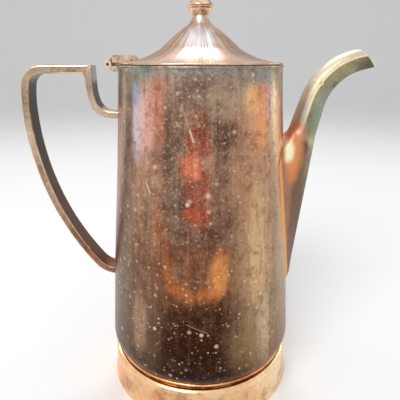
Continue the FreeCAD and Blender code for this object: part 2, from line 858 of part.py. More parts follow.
def root_stations():
    """Where the spout meets the body: wide, with its top sunk in the wall.

    The half width swells quickly above the foot, then holds. A station is the arguments of
    half_section.
    """
    lean = math.radians(size("spout_lean"))
    foot = Vector(body_radius(size("spout_foot_height")) + size("spout_foot_reach"), 0,
                  size("spout_foot_height"))
    crotch = Vector(body_radius(size("spout_crotch_height")) + size("spout_crotch_reach"), 0,
                    size("spout_crotch_height"))
    neck_keel = crotch + square_to(lean) * size("spout_crotch_depth")
    stations = []
    for share in (0.1, 0.18, 0.27, 0.38, 0.5, 0.63, 0.76, 0.89):
        keel = foot + (neck_keel - foot) * share
        half = size("spout_root_half") * (1 - (1 - share) ** 3) ** 0.6
        inward = math.sqrt(body_radius(keel.z) ** 2 - half ** 2) - size("spout_root_sink")
        tilt = lean * share
        top = keel - square_to(tilt) * ((keel.x - inward) / math.cos(tilt))
        stations.append((top, keel, size("spout_root_sink"), half, 0.6 * half))
    # Below the foot the section narrows and runs down into the body.
    inset = Vector(-size("spout_root_sink"), 0, -3 * size("spout_root_sink"))
    top, keel, flank_in, half, crease = stations[0]
    stations.insert(0, (top + inset, keel + inset, flank_in, 0.4 * half, 0.4 * crease))
    half = size("spout_crotch_half")
    stations.append((crotch, neck_keel, 0.1 * size("spout_crotch_depth"), half, 0.86 * half))
    return stations


def neck_stations(crotch, neck_keel):
    """From the crotch up: a straight rise, a bend and a run to the lip."""
    lean = math.radians(size("spout_lean"))
    turn = math.radians(size("spout_bend_turn"))
    upward = Vector(math.sin(lean), 0, math.cos(lean))
    foot = (crotch + neck_keel) * 0.5
    bend_start = foot + upward * size("spout_rise")
    bend_centre = bend_start + square_to(lean) * size("spout_bend_curve")
    places = [(foot + upward * size("spout_neck_rise"), lean, size("spout_neck_depth"),
               size("spout_neck_half"))]
    steps = 8
    for step in range(steps + 1):
        angle = lean + turn * step / steps
        ease = (0.85 * step / steps) ** 1.6
        depth = size("spout_bend_depth") * (1 - ease) + size("spout_mouth_depth") * ease
        half = size("spout_bend_half") * (1 - ease) + size("spout_mouth_half") * ease
        places.append((bend_centre - square_to(angle) * size("spout_bend_curve"),
                       angle, depth, half))
    ahead = Vector(math.sin(angle), 0, math.cos(angle))
    places.append((places[-1][0] + ahead * size("spout_lip_run"), angle,
                   size("spout_mouth_depth"), size("spout_mouth_half")))
    stations = []
    for place, angle, depth, half in places:
        down = square_to(angle) * (0.5 * depth)
        stations.append((place - down, place + down, 0.14 * depth, 0.8 * half, half))
    return stations


def mouth_cutter(tip):
    """Everything beyond the mouth, which is cut along a slope that falls to the tip."""
    slant = math.radians(size("spout_lip_slant"))
    along = Vector(math.cos(slant), 0, -math.sin(slant))
    beyond = Vector(math.sin(slant), 0, math.cos(slant))
    reach = size("rim_radius")
    corners = [tip + along * reach, tip - along * reach]
    corners += [corner + beyond * reach for corner in corners[::-1]]
    face = Part.Face(Part.makePolygon(corners + corners[:1]))
    face.translate(Vector(0, -reach, 0))
    return face.extrude(Vector(0, 2 * reach, 0))


def make_spout(envelope):
    roots = root_stations()
    stations = roots + neck_stations(*roots[-1][:2])
    cutter = mouth_cutter(stations[-1][1])
    shell = Part.makeLoft([half_section(*station) for station in stations], True, True)
    left = shell.cut(envelope.Shape).cut(cutter)
    right = left.mirror(Vector(0, 0, 0), Vector(0, 1, 0))
    for label, shape in (("spout_left_half", left), ("spout_right_half", right)):
        half = doc.addObject("Part::Feature", label)
        half.Shape = shape
        half.Placement = FreeCAD.Placement()
        finish(half, label)


# ---------------------------------------------------------------- the whole pot

def build():
    envelope = make_envelope()
    lid_envelope = make_lid_envelope()
    make_body_shell()
    make_body_bottom()
    mouth_wire = make_mouth_wire(envelope)
    foot_skirt = make_foot_skirt(envelope)
    finish(cut("foot_edge_wire", make_foot_edge_wire(), foot_skirt), "foot_edge_wire")
    make_foot_bead(envelope)
    make_lid_shell()
    make_lid_edge_wire()
    make_lid_bezel()
    make_finial_cup()
    make_finial_cap()
    make_finial_stud()
    make_finial_washer()
    make_finial_nut()
    make_hinge_pin()
    make_hinge_body_leaf(envelope, mouth_wire)
    make_hinge_lid_leaf(lid_envelope)
    make_handle_bow(envelope)
    make_handle_scroll(envelope)
    make_spout(envelope)
    doc.recompute()


def check():
    """Stop before anything is written if an object failed or a shape is unsound."""
    for thing in doc.Objects:
        if "Invalid" in thing.State or "Error" in thing.State:
            raise RuntimeError(f"{thing.Name} failed: {thing.State}")
    for piece in LABELS:
        shape = piece.Shape
        if shape.isNull() or not shape.isValid() or not shape.Solids:
            raise RuntimeError(f"{piece.Label} has no sound shape")


def write():
    os.makedirs("parts", exist_ok=True)
    for piece in LABELS:
        piece.Shape.exportStep(f"parts/{piece.Label}.step")
        box = piece.Shape.optimalBoundingBox()
        print(f"{piece.Label:18s} solids {len(piece.Shape.Solids)}  volume {piece.Shape.Volume:9.1f}"
              f"  x {box.XMin:7.2f} {box.XMax:7.2f}  y {box.YMin:6.2f} {box.YMax:6.2f}"
              f"  z {box.ZMin:6.2f} {box.ZMax:6.2f}")


build()
check()
write()
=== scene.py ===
import math

import bpy
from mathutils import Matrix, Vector


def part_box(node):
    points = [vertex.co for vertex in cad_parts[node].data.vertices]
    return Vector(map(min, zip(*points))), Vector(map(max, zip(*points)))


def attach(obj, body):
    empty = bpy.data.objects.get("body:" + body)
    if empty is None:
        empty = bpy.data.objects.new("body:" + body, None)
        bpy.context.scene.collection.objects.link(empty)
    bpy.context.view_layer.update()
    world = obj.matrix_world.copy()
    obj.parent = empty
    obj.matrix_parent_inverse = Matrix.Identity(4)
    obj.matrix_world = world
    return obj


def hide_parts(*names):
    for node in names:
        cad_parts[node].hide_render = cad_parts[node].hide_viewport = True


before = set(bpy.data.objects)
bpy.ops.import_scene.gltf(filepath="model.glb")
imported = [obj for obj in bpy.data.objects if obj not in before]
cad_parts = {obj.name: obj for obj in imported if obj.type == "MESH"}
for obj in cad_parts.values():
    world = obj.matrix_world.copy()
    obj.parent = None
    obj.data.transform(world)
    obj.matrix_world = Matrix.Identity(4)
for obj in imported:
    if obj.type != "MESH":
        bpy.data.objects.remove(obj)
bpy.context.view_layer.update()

# The coffee pot dressed: spun, pressed and soldered silver plate over copper, old and unpolished.
# Metres. Lengths below are written in millimetres times MM.

MM = 0.001
BODY = "pot"
LID = "lid"


# ---------------------------------------------------------------- places read from the frame

def low(node):
    return Vector(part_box(node)[0])


def high(node):
    return Vector(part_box(node)[1])


RIM_HEIGHT = high("body_shell").z
HEEL_HEIGHT = low("body_shell").z
BELLY_RADIUS = high("body_shell").x
RIM_RADIUS = 45.0 * MM
WAIST = (52.6 * MM, 102.0 * MM)
BELLY_HEIGHT = 34.0 * MM
HEEL_RADIUS = 52.2 * MM
WALL = 0.9 * MM
FOOT_RADIUS = high("foot_skirt").x
LID_FOOT = low("lid_edge_wire").z
LID_TOP = high("lid_shell").z
WIRE_TOP = high("lid_edge_wire").z
CUP_FOOT = low("finial_cup").z
CAP_FOOT = low("finial_cap").z
POT_TOP = high("finial_cap").z
PIVOT = (low("hinge_pin") + high("hinge_pin")) / 2
STRAP_HALF = high("handle_bow").y
MOUTH_SLANT = math.radians(40)
MOUTH_REACH = 213.2
BOW_TOP = high("handle_bow").z


# ---------------------------------------------------------------- modelling by hand

def deselect():
    if bpy.context.object and bpy.context.object.mode != "OBJECT":
        bpy.ops.object.mode_set(mode="OBJECT")
    bpy.ops.object.select_all(action="DESELECT")


def arc(start, end, radius, steps=10):
    """Points after start, up to end, on the short arc. A positive radius turns anticlockwise."""
    a, b = Vector(start), Vector(end)
    chord = b - a
    side = Vector((-chord.y, chord.x)).normalized()
    reach = math.sqrt(max(radius * radius - chord.length_squared / 4, 0.0))
    centre = (a + b) / 2 + side * (reach if radius > 0 else -reach)
    first = math.atan2(a.y - centre.y, a.x - centre.x)
    last = math.atan2(b.y - centre.y, b.x - centre.x)
    turn = (last - first + math.pi) % (2 * math.pi) - math.pi
    places = []
    for i in range(1, steps + 1):
        angle = first + turn * i / steps
        places.append((centre.x + abs(radius) * math.cos(angle),
                       centre.y + abs(radius) * math.sin(angle)))
    return places


def draw(name, places, closed=False):
    """A line of edges pulled out of one vertex through the places. It is left in edit mode."""
    deselect()
    bpy.ops.mesh.primitive_plane_add(size=MM, location=places[0])
    piece = bpy.context.object
    piece.name = name
    bpy.ops.object.transform_apply(location=True, rotation=True, scale=True)
    bpy.ops.object.mode_set(mode="EDIT")
    bpy.ops.mesh.select_mode(type="VERT")
    bpy.ops.mesh.select_all(action="SELECT")
    bpy.ops.mesh.merge(type="CENTER")
    for here, there in zip(places, places[1:]):
        step = Vector(there) - Vector(here)
        bpy.ops.mesh.extrude_vertices_move(TRANSFORM_OT_translate={"value": step})
    bpy.ops.mesh.select_all(action="SELECT")
    if closed:
        bpy.ops.mesh.edge_face_add()
    return piece


def tidy(piece, angle=32):
    """Merge doubles, point the faces outwards and shade by angle."""
    if piece.mode != "EDIT":
        bpy.context.view_layer.objects.active = piece
        bpy.ops.object.mode_set(mode="EDIT")
    bpy.ops.mesh.select_all(action="SELECT")
    bpy.ops.mesh.remove_doubles(threshold=0.002 * MM)
    bpy.ops.mesh.normals_make_consistent(inside=False)
    bpy.ops.object.mode_set(mode="OBJECT")
    deselect()
    piece.select_set(True)
    bpy.context.view_layer.objects.active = piece
    bpy.ops.object.shade_smooth_by_angle(angle=math.radians(angle))
    return piece


def spun(name, profile, steps=168):
    """Spin a profile of (radius, height) points round the pot's axis."""
    piece = draw(name, [(radius, 0, height) for radius, height in profile])
    bpy.ops.mesh.spin(steps=steps, angle=2 * math.pi, center=(0, 0, 0), axis=(0, 0, 1))
    return tidy(piece)


def ring(profile):
    """The profile closed on itself, so that spinning it gives a solid ring."""
    return profile + profile[:1]


def slab(name, outline, half):
    """An outline of (across, up) points of the XZ plane, pulled to both sides of it."""
    points = [(x, -half, z) for x, z in outline]
    piece = draw(name, points + points[:1])
    bpy.ops.mesh.remove_doubles(threshold=0.001 * MM)
    bpy.ops.mesh.select_all(action="SELECT")
    bpy.ops.mesh.edge_face_add()
    bpy.ops.mesh.extrude_region_move(TRANSFORM_OT_translate={"value": (0, 2 * half, 0)})
    return tidy(piece)


def soften(piece, width, segments=2, angle=30):
    """Round every edge that turns by more than the angle."""
    modifier = piece.modifiers.new("softened_edges", "BEVEL")
    modifier.width = width
    modifier.segments = segments
    modifier.limit_method = "ANGLE"
    modifier.angle_limit = math.radians(angle)
    apply_modifiers(piece)
    return tidy(piece)


def apply_modifiers(piece):
    deselect()
    piece.select_set(True)
    bpy.context.view_layer.objects.active = piece
    for modifier in list(piece.modifiers):
        bpy.ops.object.modifier_apply(modifier=modifier.name)


def cut_away(piece, tool, keep_tool=True):
    """Take the tool's volume out of the piece."""
    modifier = piece.modifiers.new("cut", "BOOLEAN")
    modifier.operation = "DIFFERENCE"
    modifier.solver = "EXACT"
    modifier.use_self = True
    modifier.object = tool
    apply_modifiers(piece)
    if not keep_tool:
        bpy.data.objects.remove(tool)
    return piece


def fuse(piece, other):
    """Join two solids that overlap into one skin."""
    modifier = piece.modifiers.new("fused", "BOOLEAN")
    modifier.operation = "UNION"
    modifier.solver = "EXACT"
    modifier.use_self = True
    modifier.object = other
    apply_modifiers(piece)
    bpy.data.objects.remove(other)
    return piece


def rod(name, radius, half, place, sides=40):
    """A round bar along Y, centred at the place."""
    deselect()
    bpy.ops.mesh.primitive_cylinder_add(vertices=sides, radius=radius, depth=2 * half,
                                        location=place, rotation=(math.pi / 2, 0, 0))
    piece = bpy.context.object
    piece.name = name
    bpy.ops.object.transform_apply(location=True, rotation=True, scale=True)
    return piece


def finished(piece, body, slot, material, *nodes):
    """Hand a piece over: it moves with its body and stands for the nodes."""
    piece.data.materials.clear()
    piece.data.materials.append(material)
    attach(piece, body)
    if nodes:
        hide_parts(*nodes)
    return piece


# ---------------------------------------------------------------- node helpers

def tone(red, green, blue):
    """A colour as it looks, turned into the shader's linear values."""
    def linear(value):
        return value / 12.92 if value <= 0.04045 else ((value + 0.055) / 1.055) ** 2.4
    return (linear(red), linear(green), linear(blue), 1.0)


def place(tree, kind, settings=None, **inputs):
    """Add a node. Inputs are values or sockets, by the socket's name with spaces as underscores."""
    node = tree.nodes.new(kind)
    for name, value in (settings or {}).items():
        setattr(node, name, value)
    for name, value in inputs.items():
        key = int(name[1:]) if name[0] == "i" and name[1:].isdigit() else name.replace("_", " ")
        feed(tree, node.inputs[key], value)
    return node


def feed(tree, socket, value):
    if isinstance(value, bpy.types.NodeSocket):
        tree.links.new(value, socket)
    else:
        socket.default_value = value


def sums(tree, operation, first, second=None, third=None, clamp=False):
    """A Math node's result."""
    node = tree.nodes.new("ShaderNodeMath")
    node.operation = operation
    node.use_clamp = clamp
    for socket, value in zip(node.inputs, (first, second, third)):
        if value is not None:
            feed(tree, socket, value)
    return node.outputs[0]


def ease(tree, value, start, end):
    """0 up to start, 1 from end, smooth between them."""
    node = tree.nodes.new("ShaderNodeMapRange")
    node.interpolation_type = "SMOOTHSTEP"
    feed(tree, node.inputs["Value"], value)
    feed(tree, node.inputs["From Min"], start)
    feed(tree, node.inputs["From Max"], end)
    return node.outputs["Result"]


def blend(tree, amount, under, over, mode="MIX"):
    """A colour laid over another by an amount."""
    node = tree.nodes.new("ShaderNodeMix")
    node.data_type = "RGBA"
    node.blend_type = mode
    feed(tree, node.inputs["Factor"], amount)
    feed(tree, node.inputs[6], under)
    feed(tree, node.inputs[7], over)
    return node.outputs[2]


def cloud(tree, scale, detail=4.0, roughness=0.55, where=None, stretch=None):
    """Noise on the object's own coordinates, stretched if asked. Its value and its colour."""
    vector = where
    if vector is None:
        vector = tree.nodes.new("ShaderNodeTexCoord").outputs["Object"]
    if stretch:
        vector = place(tree, "ShaderNodeMapping", Vector=vector, Scale=stretch).outputs[0]
    node = place(tree, "ShaderNodeTexNoise", Vector=vector, Scale=scale, Detail=detail,
                 Roughness=roughness)
    return node.outputs[0], node.outputs[1]


def new_group(name, inputs, outputs):
    """A shader group with named sockets. Inputs are (name, kind, default)."""
    tree = bpy.data.node_groups.new(name, "ShaderNodeTree")
    for label, kind, default in inputs:
        socket = tree.interface.new_socket(label, in_out="INPUT", socket_type=kind)
        socket.default_value = default
    for label, kind in outputs:
        tree.interface.new_socket(label, in_out="OUTPUT", socket_type=kind)
    source = tree.nodes.new("NodeGroupInput")
    sink = tree.nodes.new("NodeGroupOutput")
    return tree, source.outputs, sink.inputs


def use(tree, group, **inputs):
    node = tree.nodes.new("ShaderNodeGroup")
    node.node_tree = group
    for name, value in inputs.items():
        feed(tree, node.inputs[name.replace("_", " ")], value)
    return node.outputs


NUMBER = "NodeSocketFloat"
COLOUR = "NodeSocketColor"


# ---------------------------------------------------------------- shared effects

def make_round_the_pot():
    """Where a point lies on the pot: degrees round from the front, and height in millimetres."""
    tree, _, sink = new_group("round_the_pot", [], [("Around", NUMBER), ("Height", NUMBER)])
    where = place(tree, "ShaderNodeSeparateXYZ",
                  Vector=tree.nodes.new("ShaderNodeTexCoord").outputs["Object"])
    toward = sums(tree, "MULTIPLY", where.outputs["Y"], -1.0)
    angle = sums(tree, "ARCTAN2", where.outputs["X"], toward)
    feed(tree, sink["Around"], sums(tree, "MULTIPLY", angle, 180 / math.pi))
    feed(tree, sink["Height"], sums(tree, "MULTIPLY", where.outputs["Z"], 1000.0))
    return tree


def make_stain():
    """The mask of one stain: an oval on the wall with a wandering edge."""
    tree, given, sink = new_group("stain", [
        ("Around", NUMBER, 0.0), ("Height", NUMBER, 0.0),
        ("Centre", NUMBER, 0.0), ("Level", NUMBER, 0.0),
        ("Half Width", NUMBER, 10.0), ("Half Height", NUMBER, 10.0),
        ("Wander", NUMBER, 0.0), ("Edge", NUMBER, 0.5), ("Strength", NUMBER, 1.0)],
        [("Mask", NUMBER)])
    across = sums(tree, "DIVIDE", sums(tree, "SUBTRACT", given["Around"], given["Centre"]),
                  given["Half Width"])
    up = sums(tree, "DIVIDE", sums(tree, "SUBTRACT", given["Height"], given["Level"]),
              given["Half Height"])
    squareness = 2.6
    across = sums(tree, "POWER", sums(tree, "ABSOLUTE", across), squareness)
    up = sums(tree, "POWER", sums(tree, "ABSOLUTE", up), squareness)
    far = sums(tree, "SQRT", sums(tree, "ADD", across, up))
    far = sums(tree, "ADD", far, given["Wander"])
    inside = sums(tree, "SUBTRACT", 1.0, ease(tree, far, sums(tree, "SUBTRACT", 1.0, given["Edge"]),
                                              sums(tree, "ADD", 1.0, given["Edge"])))
    feed(tree, sink["Mask"], sums(tree, "MULTIPLY", inside, given["Strength"]))
    return tree


def make_water_spots():
    """Dried drops: pale soft spots of mixed sizes, thick in some places and few in others."""
    tree, given, sink = new_group("water_spots", [
        ("Spread", NUMBER, 160.0), ("Size", NUMBER, 0.16), ("Amount", NUMBER, 0.5)],
        [("Mask", NUMBER)])
    where = tree.nodes.new("ShaderNodeTexCoord").outputs["Object"]
    wobble = cloud(tree, 1100.0, 2.0, where=where)[1]
    bent = place(tree, "ShaderNodeVectorMath", {"operation": "MULTIPLY_ADD"},
                 i0=wobble, i1=(0.0012, 0.0012, 0.0012), i2=where).outputs[0]
    cells = place(tree, "ShaderNodeTexVoronoi", Vector=bent, Scale=given["Spread"], Randomness=1.0)
    chance = place(tree, "ShaderNodeSeparateColor", Color=cells.outputs["Color"])
    crowd = cloud(tree, 30.0, 3.0, where=where)[0]
    crowd = ease(tree, crowd, sums(tree, "SUBTRACT", 0.85, given["Amount"]),
                 sums(tree, "SUBTRACT", 1.15, given["Amount"]))
    kept = sums(tree, "LESS_THAN", chance.outputs[0], crowd)
    radius = sums(tree, "MULTIPLY", given["Size"],
                  sums(tree, "ADD", 0.55, sums(tree, "POWER", chance.outputs[1], 3.0)))
    inside = sums(tree, "SUBTRACT", 1.0, ease(tree, cells.outputs["Distance"],
                                              sums(tree, "MULTIPLY", radius, 0.25), radius))
    faint = sums(tree, "MULTIPLY_ADD", chance.outputs[2], 0.6, 0.4)
    feed(tree, sink["Mask"], sums(tree, "MULTIPLY", sums(tree, "MULTIPLY", inside, kept), faint))
    return tree


def make_fine_scratches():
    """Hair scratches in three directions, as a mask of thin lines."""
    tree, given, sink = new_group("fine_scratches", [("Amount", NUMBER, 0.5)], [("Lines", NUMBER)])
    total = None
    for turn, stretch in ((0.5, (60.0, 60.0, 900.0)), (-0.9, (700.0, 500.0, 40.0)),
                          (1.3, (120.0, 120.0, 1500.0))):
        where = place(tree, "ShaderNodeMapping",
                      Vector=tree.nodes.new("ShaderNodeTexCoord").outputs["Object"],
                      Rotation=(turn, turn * 0.7, turn * 1.7), Scale=stretch).outputs[0]
        value = place(tree, "ShaderNodeTexNoise", Vector=where, Scale=1.0, Detail=2.0).outputs[0]
        line = sums(tree, "SUBTRACT", 1.0, ease(tree, sums(tree, "ABSOLUTE",
                    sums(tree, "SUBTRACT", value, 0.56)), 0.0, 0.012))
        total = line if total is None else sums(tree, "MAXIMUM", total, line)
    patches = ease(tree, cloud(tree, 45.0, 2.0)[0], 0.5, 0.75)
    feed(tree, sink["Lines"], sums(tree, "MULTIPLY", sums(tree, "MULTIPLY", total, patches),
                                   given["Amount"]))
    return tree


def make_mottle():
    """Three tones of tarnish that drift into each other, with a fine grain."""
    tree, given, sink = new_group("mottle", [
        ("Light", COLOUR, (0.5, 0.5, 0.5, 1)), ("Middle", COLOUR, (0.3, 0.3, 0.3, 1)),
        ("Dark", COLOUR, (0.1, 0.1, 0.1, 1)), ("Scale", NUMBER, 30.0), ("Grain", NUMBER, 0.3)],
        [("Colour", COLOUR), ("Cloud", NUMBER)])
    broad = cloud(tree, given["Scale"], 5.0, 0.62)[0]
    fine = cloud(tree, sums(tree, "MULTIPLY", given["Scale"], 14.0), 3.0, 0.6)[0]
    mixed = sums(tree, "ADD", broad, sums(tree, "MULTIPLY", sums(tree, "SUBTRACT", fine, 0.5),
                                          given["Grain"]))
    colour = blend(tree, ease(tree, mixed, 0.3, 0.52), given["Dark"], given["Middle"])
    colour = blend(tree, ease(tree, mixed, 0.5, 0.74), colour, given["Light"])
    feed(tree, sink["Colour"], colour)
    feed(tree, sink["Cloud"], mixed)
    return tree


def make_long_scratch():
    """The mask of one straight scratch between two places on the wall."""
    tree, given, sink = new_group("long_scratch", [
        ("Around", NUMBER, 0.0), ("Height", NUMBER, 0.0),
        ("From Around", NUMBER, 0.0), ("From Height", NUMBER, 0.0),
        ("To Around", NUMBER, 1.0), ("To Height", NUMBER, 1.0),
        ("Half Width", NUMBER, 0.2)], [("Mask", NUMBER)])

    def flat(around, height):
        """Millimetres along and up the wall, where a degree is about 0.87 mm."""
        return place(tree, "ShaderNodeCombineXYZ", X=sums(tree, "MULTIPLY", given[around], 0.87),
                     Y=given[height]).outputs[0]

    def vector(operation, first, second, output=0):
        return place(tree, "ShaderNodeVectorMath", {"operation": operation},
                     i0=first, i1=second).outputs[output]

    start = flat("From Around", "From Height")
    run = vector("SUBTRACT", flat("To Around", "To Height"), start)
    here = vector("SUBTRACT", flat("Around", "Height"), start)
    share = sums(tree, "DIVIDE", vector("DOT_PRODUCT", here, run, 1),
                 vector("DOT_PRODUCT", run, run, 1), clamp=True)
    nearest = place(tree, "ShaderNodeVectorMath", {"operation": "SCALE"}, i0=run, Scale=share)
    far = vector("DISTANCE", here, nearest.outputs[0], 1)
    feed(tree, sink["Mask"], sums(tree, "SUBTRACT", 1.0, ease(
        tree, far, sums(tree, "MULTIPLY", given["Half Width"], 0.3), given["Half Width"])))
    return tree


ROUND_THE_POT = make_round_the_pot()
LONG_SCRATCH = make_long_scratch()
STAIN = make_stain()
WATER_SPOTS = make_water_spots()
SCRATCHES = make_fine_scratches()
MOTTLE = make_mottle()


# ---------------------------------------------------------------- materials

def new_material(name, metallic=1.0):
    material = bpy.data.materials.new(name)
    material.use_nodes = True
    shader = material.node_tree.nodes["Principled BSDF"]
    shader.inputs["Metallic"].default_value = metallic
    return material, material.node_tree, shader


def add_age(tree, colour, spread=170.0, size=0.16, amount=0.5, spot=(0.80, 0.72, 0.66),
            scratch=0.5, strength=0.75):
    """Lay drops of two sizes and hair scratches over a colour. Returns colour, drops, scratches."""
    spots = use(tree, WATER_SPOTS, Spread=spread, Size=size, Amount=amount)["Mask"]
    small = use(tree, WATER_SPOTS, Spread=spread * 2.3, Size=size * 1.3, Amount=amount)["Mask"]
    spots = sums(tree, "MAXIMUM", spots, sums(tree, "MULTIPLY", small, 0.8))
    lines = use(tree, SCRATCHES, Amount=scratch)["Lines"]
    colour = blend(tree, sums(tree, "MULTIPLY", spots, strength), colour, tone(*spot))
    colour = blend(tree, sums(tree, "MULTIPLY", lines, 0.5), colour, tone(0.78, 0.68, 0.6))
    return colour, spots, lines


def add_surface(tree, shader, colour, rough, rough_cloud, height, depth):
    """Feed the colour, a roughness that follows a cloud, and a bump."""
    feed(tree, shader.inputs["Base Color"], colour)
    feed(tree, shader.inputs["Roughness"], sums(tree, "MULTIPLY_ADD", rough_cloud, 0.22, rough))
    bump = place(tree, "ShaderNodeBump", Strength=1.0, Distance=depth, Height=height)
    feed(tree, shader.inputs["Normal"], bump.outputs[0])


# The tarnish and painted reflections up the body's wall, from the foot to the rim, in three columns:
# a dark middle and paler sides stand partly for reflections. The right one is towards the spout. Each entry
# is a height in millimetres and a colour.
LEFT_TARNISH_AND_REFLECTION_TONES = [(30, (0.34, 0.25, 0.19)), (60, (0.45, 0.34, 0.26)), (100, (0.50, 0.36, 0.27)),
              (140, (0.67, 0.51, 0.41)), (172, (0.64, 0.50, 0.43)), (194, (0.62, 0.57, 0.50))]
CENTRE_TARNISH_AND_REFLECTION_TONES = [(30, (0.20, 0.10, 0.04)), (72, (0.24, 0.125, 0.055)), (92, (0.47, 0.28, 0.18)),
                (118, (0.43, 0.29, 0.22)), (146, (0.53, 0.38, 0.31)), (168, (0.54, 0.41, 0.33)),
                (194, (0.64, 0.54, 0.47))]
RIGHT_TARNISH_AND_REFLECTION_TONES = [(30, (0.50, 0.36, 0.24)), (60, (0.62, 0.50, 0.37)), (100, (0.74, 0.59, 0.45)),
               (140, (0.76, 0.57, 0.43)), (172, (0.84, 0.62, 0.48)), (194, (0.63, 0.56, 0.49))]

# Stains and painted reflections: degrees round from the front (plus is towards the spout),
# height in millimetres, half width, half height, colour, strength and softness of the edge.
BODY_STAINS_AND_REFLECTIONS = [
    (-16, 142, 6, 30, (0.42, 0.33, 0.27), 0.60, 0.7),
    (-4, 189, 10, 9, (0.40, 0.31, 0.29), 0.55, 0.7),
    (15, 182, 10, 8, (0.72, 0.62, 0.50), 0.55, 0.7),
    (12, 166, 12, 7, (0.38, 0.26, 0.22), 0.75, 0.6),
    # Painted reflections: the orange, near-white and bluish streaks on the left.
    (-26, 178, 5, 16, (0.87, 0.50, 0.36), 0.70, 0.85),
    (-34, 172, 5, 17, (1.00, 0.74, 0.67), 0.92, 0.85),
    (-42, 170, 4.5, 16, (0.98, 0.88, 0.92), 0.92, 0.85),
    (-43, 184, 3, 6, (0.56, 0.70, 0.82), 0.75, 0.7),
    (-38, 194, 11, 2.5, (0.50, 0.66, 0.62), 0.60, 0.9),
    # A painted reflection: the long greyish streak by the left edge.
    (-52, 120, 5, 75, (0.44, 0.40, 0.34), 0.50, 0.7),
    (-31, 146, 8, 8, (0.76, 0.55, 0.44), 0.50, 0.7),
    (-1, 166, 7, 12, (0.63, 0.32, 0.23), 0.65, 0.4),
    (-1, 142, 8, 27, (0.64, 0.30, 0.21), 0.75, 0.22),
    (-5, 150, 6, 6, (0.93, 0.50, 0.36), 0.85, 0.6),
    (4, 153, 4, 4, (0.74, 0.52, 0.44), 0.60, 0.7),
    (-4, 127, 7, 3, (0.74, 0.30, 0.19), 0.60, 0.5),
    (0, 116, 10, 4, (0.35, 0.24, 0.19), 0.65, 0.6),
    (42, 192, 10, 3, (0.50, 0.58, 0.60), 0.55, 0.9),
    (2, 195, 44, 2.4, (0.50, 0.56, 0.56), 0.45, 0.9),
    # Painted reflections: the orange and pale patches high on the right, the tan streak, and the thin
    # yellow-green line and greyish streak by the right edge.
    (32, 182, 5, 6, (1.00, 0.78, 0.54), 0.90, 0.85),
    (40, 173, 6, 13, (1.00, 0.66, 0.44), 0.95, 0.85),
    (47, 180, 3, 9, (0.88, 0.62, 0.68), 0.60, 0.85),
    (36, 106, 6, 32, (0.88, 0.72, 0.54), 0.75, 0.5),
    (52, 176, 2.5, 20, (0.78, 0.78, 0.60), 0.75, 0.85),
    (52, 108, 4, 50, (0.56, 0.48, 0.38), 0.60, 0.6),
    (-1, 94, 17, 15, (0.76, 0.43, 0.23), 0.80, 0.25),
    (-4, 101, 13, 15, (0.43, 0.28, 0.21), 0.95, 0.3),
    (10, 94, 5, 10, (0.90, 0.60, 0.34), 0.80, 0.6),
    (-26, 118, 3, 14, (0.70, 0.43, 0.27), 0.65, 0.6),
    (-20, 106, 2.5, 14, (0.62, 0.36, 0.22), 0.65, 0.6),
    (-38, 60, 5, 17, (0.70, 0.56, 0.45), 0.80, 0.6),
    (40, 58, 5, 22, (0.80, 0.70, 0.56), 0.75, 0.6),
    (28, 50, 6, 12, (0.56, 0.45, 0.30), 0.55, 0.7),
    (0, 30, 34, 4, (0.12, 0.08, 0.13), 0.75, 0.6),
    (118, 176, 12, 16, (0.76, 0.44, 0.32), 0.65, 0.6),
    (134, 150, 9, 26, (0.74, 0.66, 0.76), 0.60, 0.6),
    (160, 120, 12, 34, (0.64, 0.32, 0.22), 0.65, 0.6),
    (150, 192, 24, 4, (0.38, 0.56, 0.58), 0.65, 0.6),
    (-118, 110, 10, 50, (0.84, 0.67, 0.50), 0.65, 0.6),
    (-140, 172, 10, 16, (0.93, 0.62, 0.45), 0.65, 0.6),
    (-158, 128, 10, 26, (0.42, 0.32, 0.28), 0.65, 0.6),
]

# Stains on the spout, with a painted highlight near the root: millimetres out from the axis and up, half
# sizes, colour and strength.
SPOUT_STAINS_AND_HIGHLIGHT = [
    (49, 118, 4, 36, (0.80, 0.58, 0.43), 0.45),
    (56, 112, 3, 32, (0.48, 0.36, 0.29), 0.55),
    # A painted highlight near the root: this orange glow, round the white hot spot listed after it.
    (52, 151, 6, 11, (0.94, 0.64, 0.42), 0.85),
    (53, 139, 3, 6, (0.92, 0.58, 0.34), 0.6),
    # The painted highlight's white hot spot.
    (49.5, 151, 3.2, 5, (1.00, 0.97, 0.84), 1.0),
    (58, 162, 5, 5, (0.92, 0.66, 0.56), 0.6),
    (64, 156, 2, 3.5, (0.86, 0.82, 0.74), 0.6),
    (59, 171, 4, 6, (0.58, 0.56, 0.60), 0.5),
    (65, 178, 4, 6, (0.76, 0.70, 0.70), 0.4),
]

# Long scratches: degrees round and height of the two ends, and half width in millimetres.
LONG_SCRATCHES = [((-11, 180), (-6, 168), 0.16), ((-6, 168), (-4, 163), 0.8),
                  ((-34, 141), (-31, 136), 0.7), ((27, 120), (30, 108), 0.15),
                  ((-8, 66), (4, 61), 0.14)]


def tone_up(tree, height, tones):
    """A colour that changes with height, from the first tone up to the last."""
    colour = tone(*tones[0][1])
    for (under, _), (over, above) in zip(tones, tones[1:]):
        colour = blend(tree, ease(tree, height, float(under), float(over)), colour, tone(*above))
    return colour


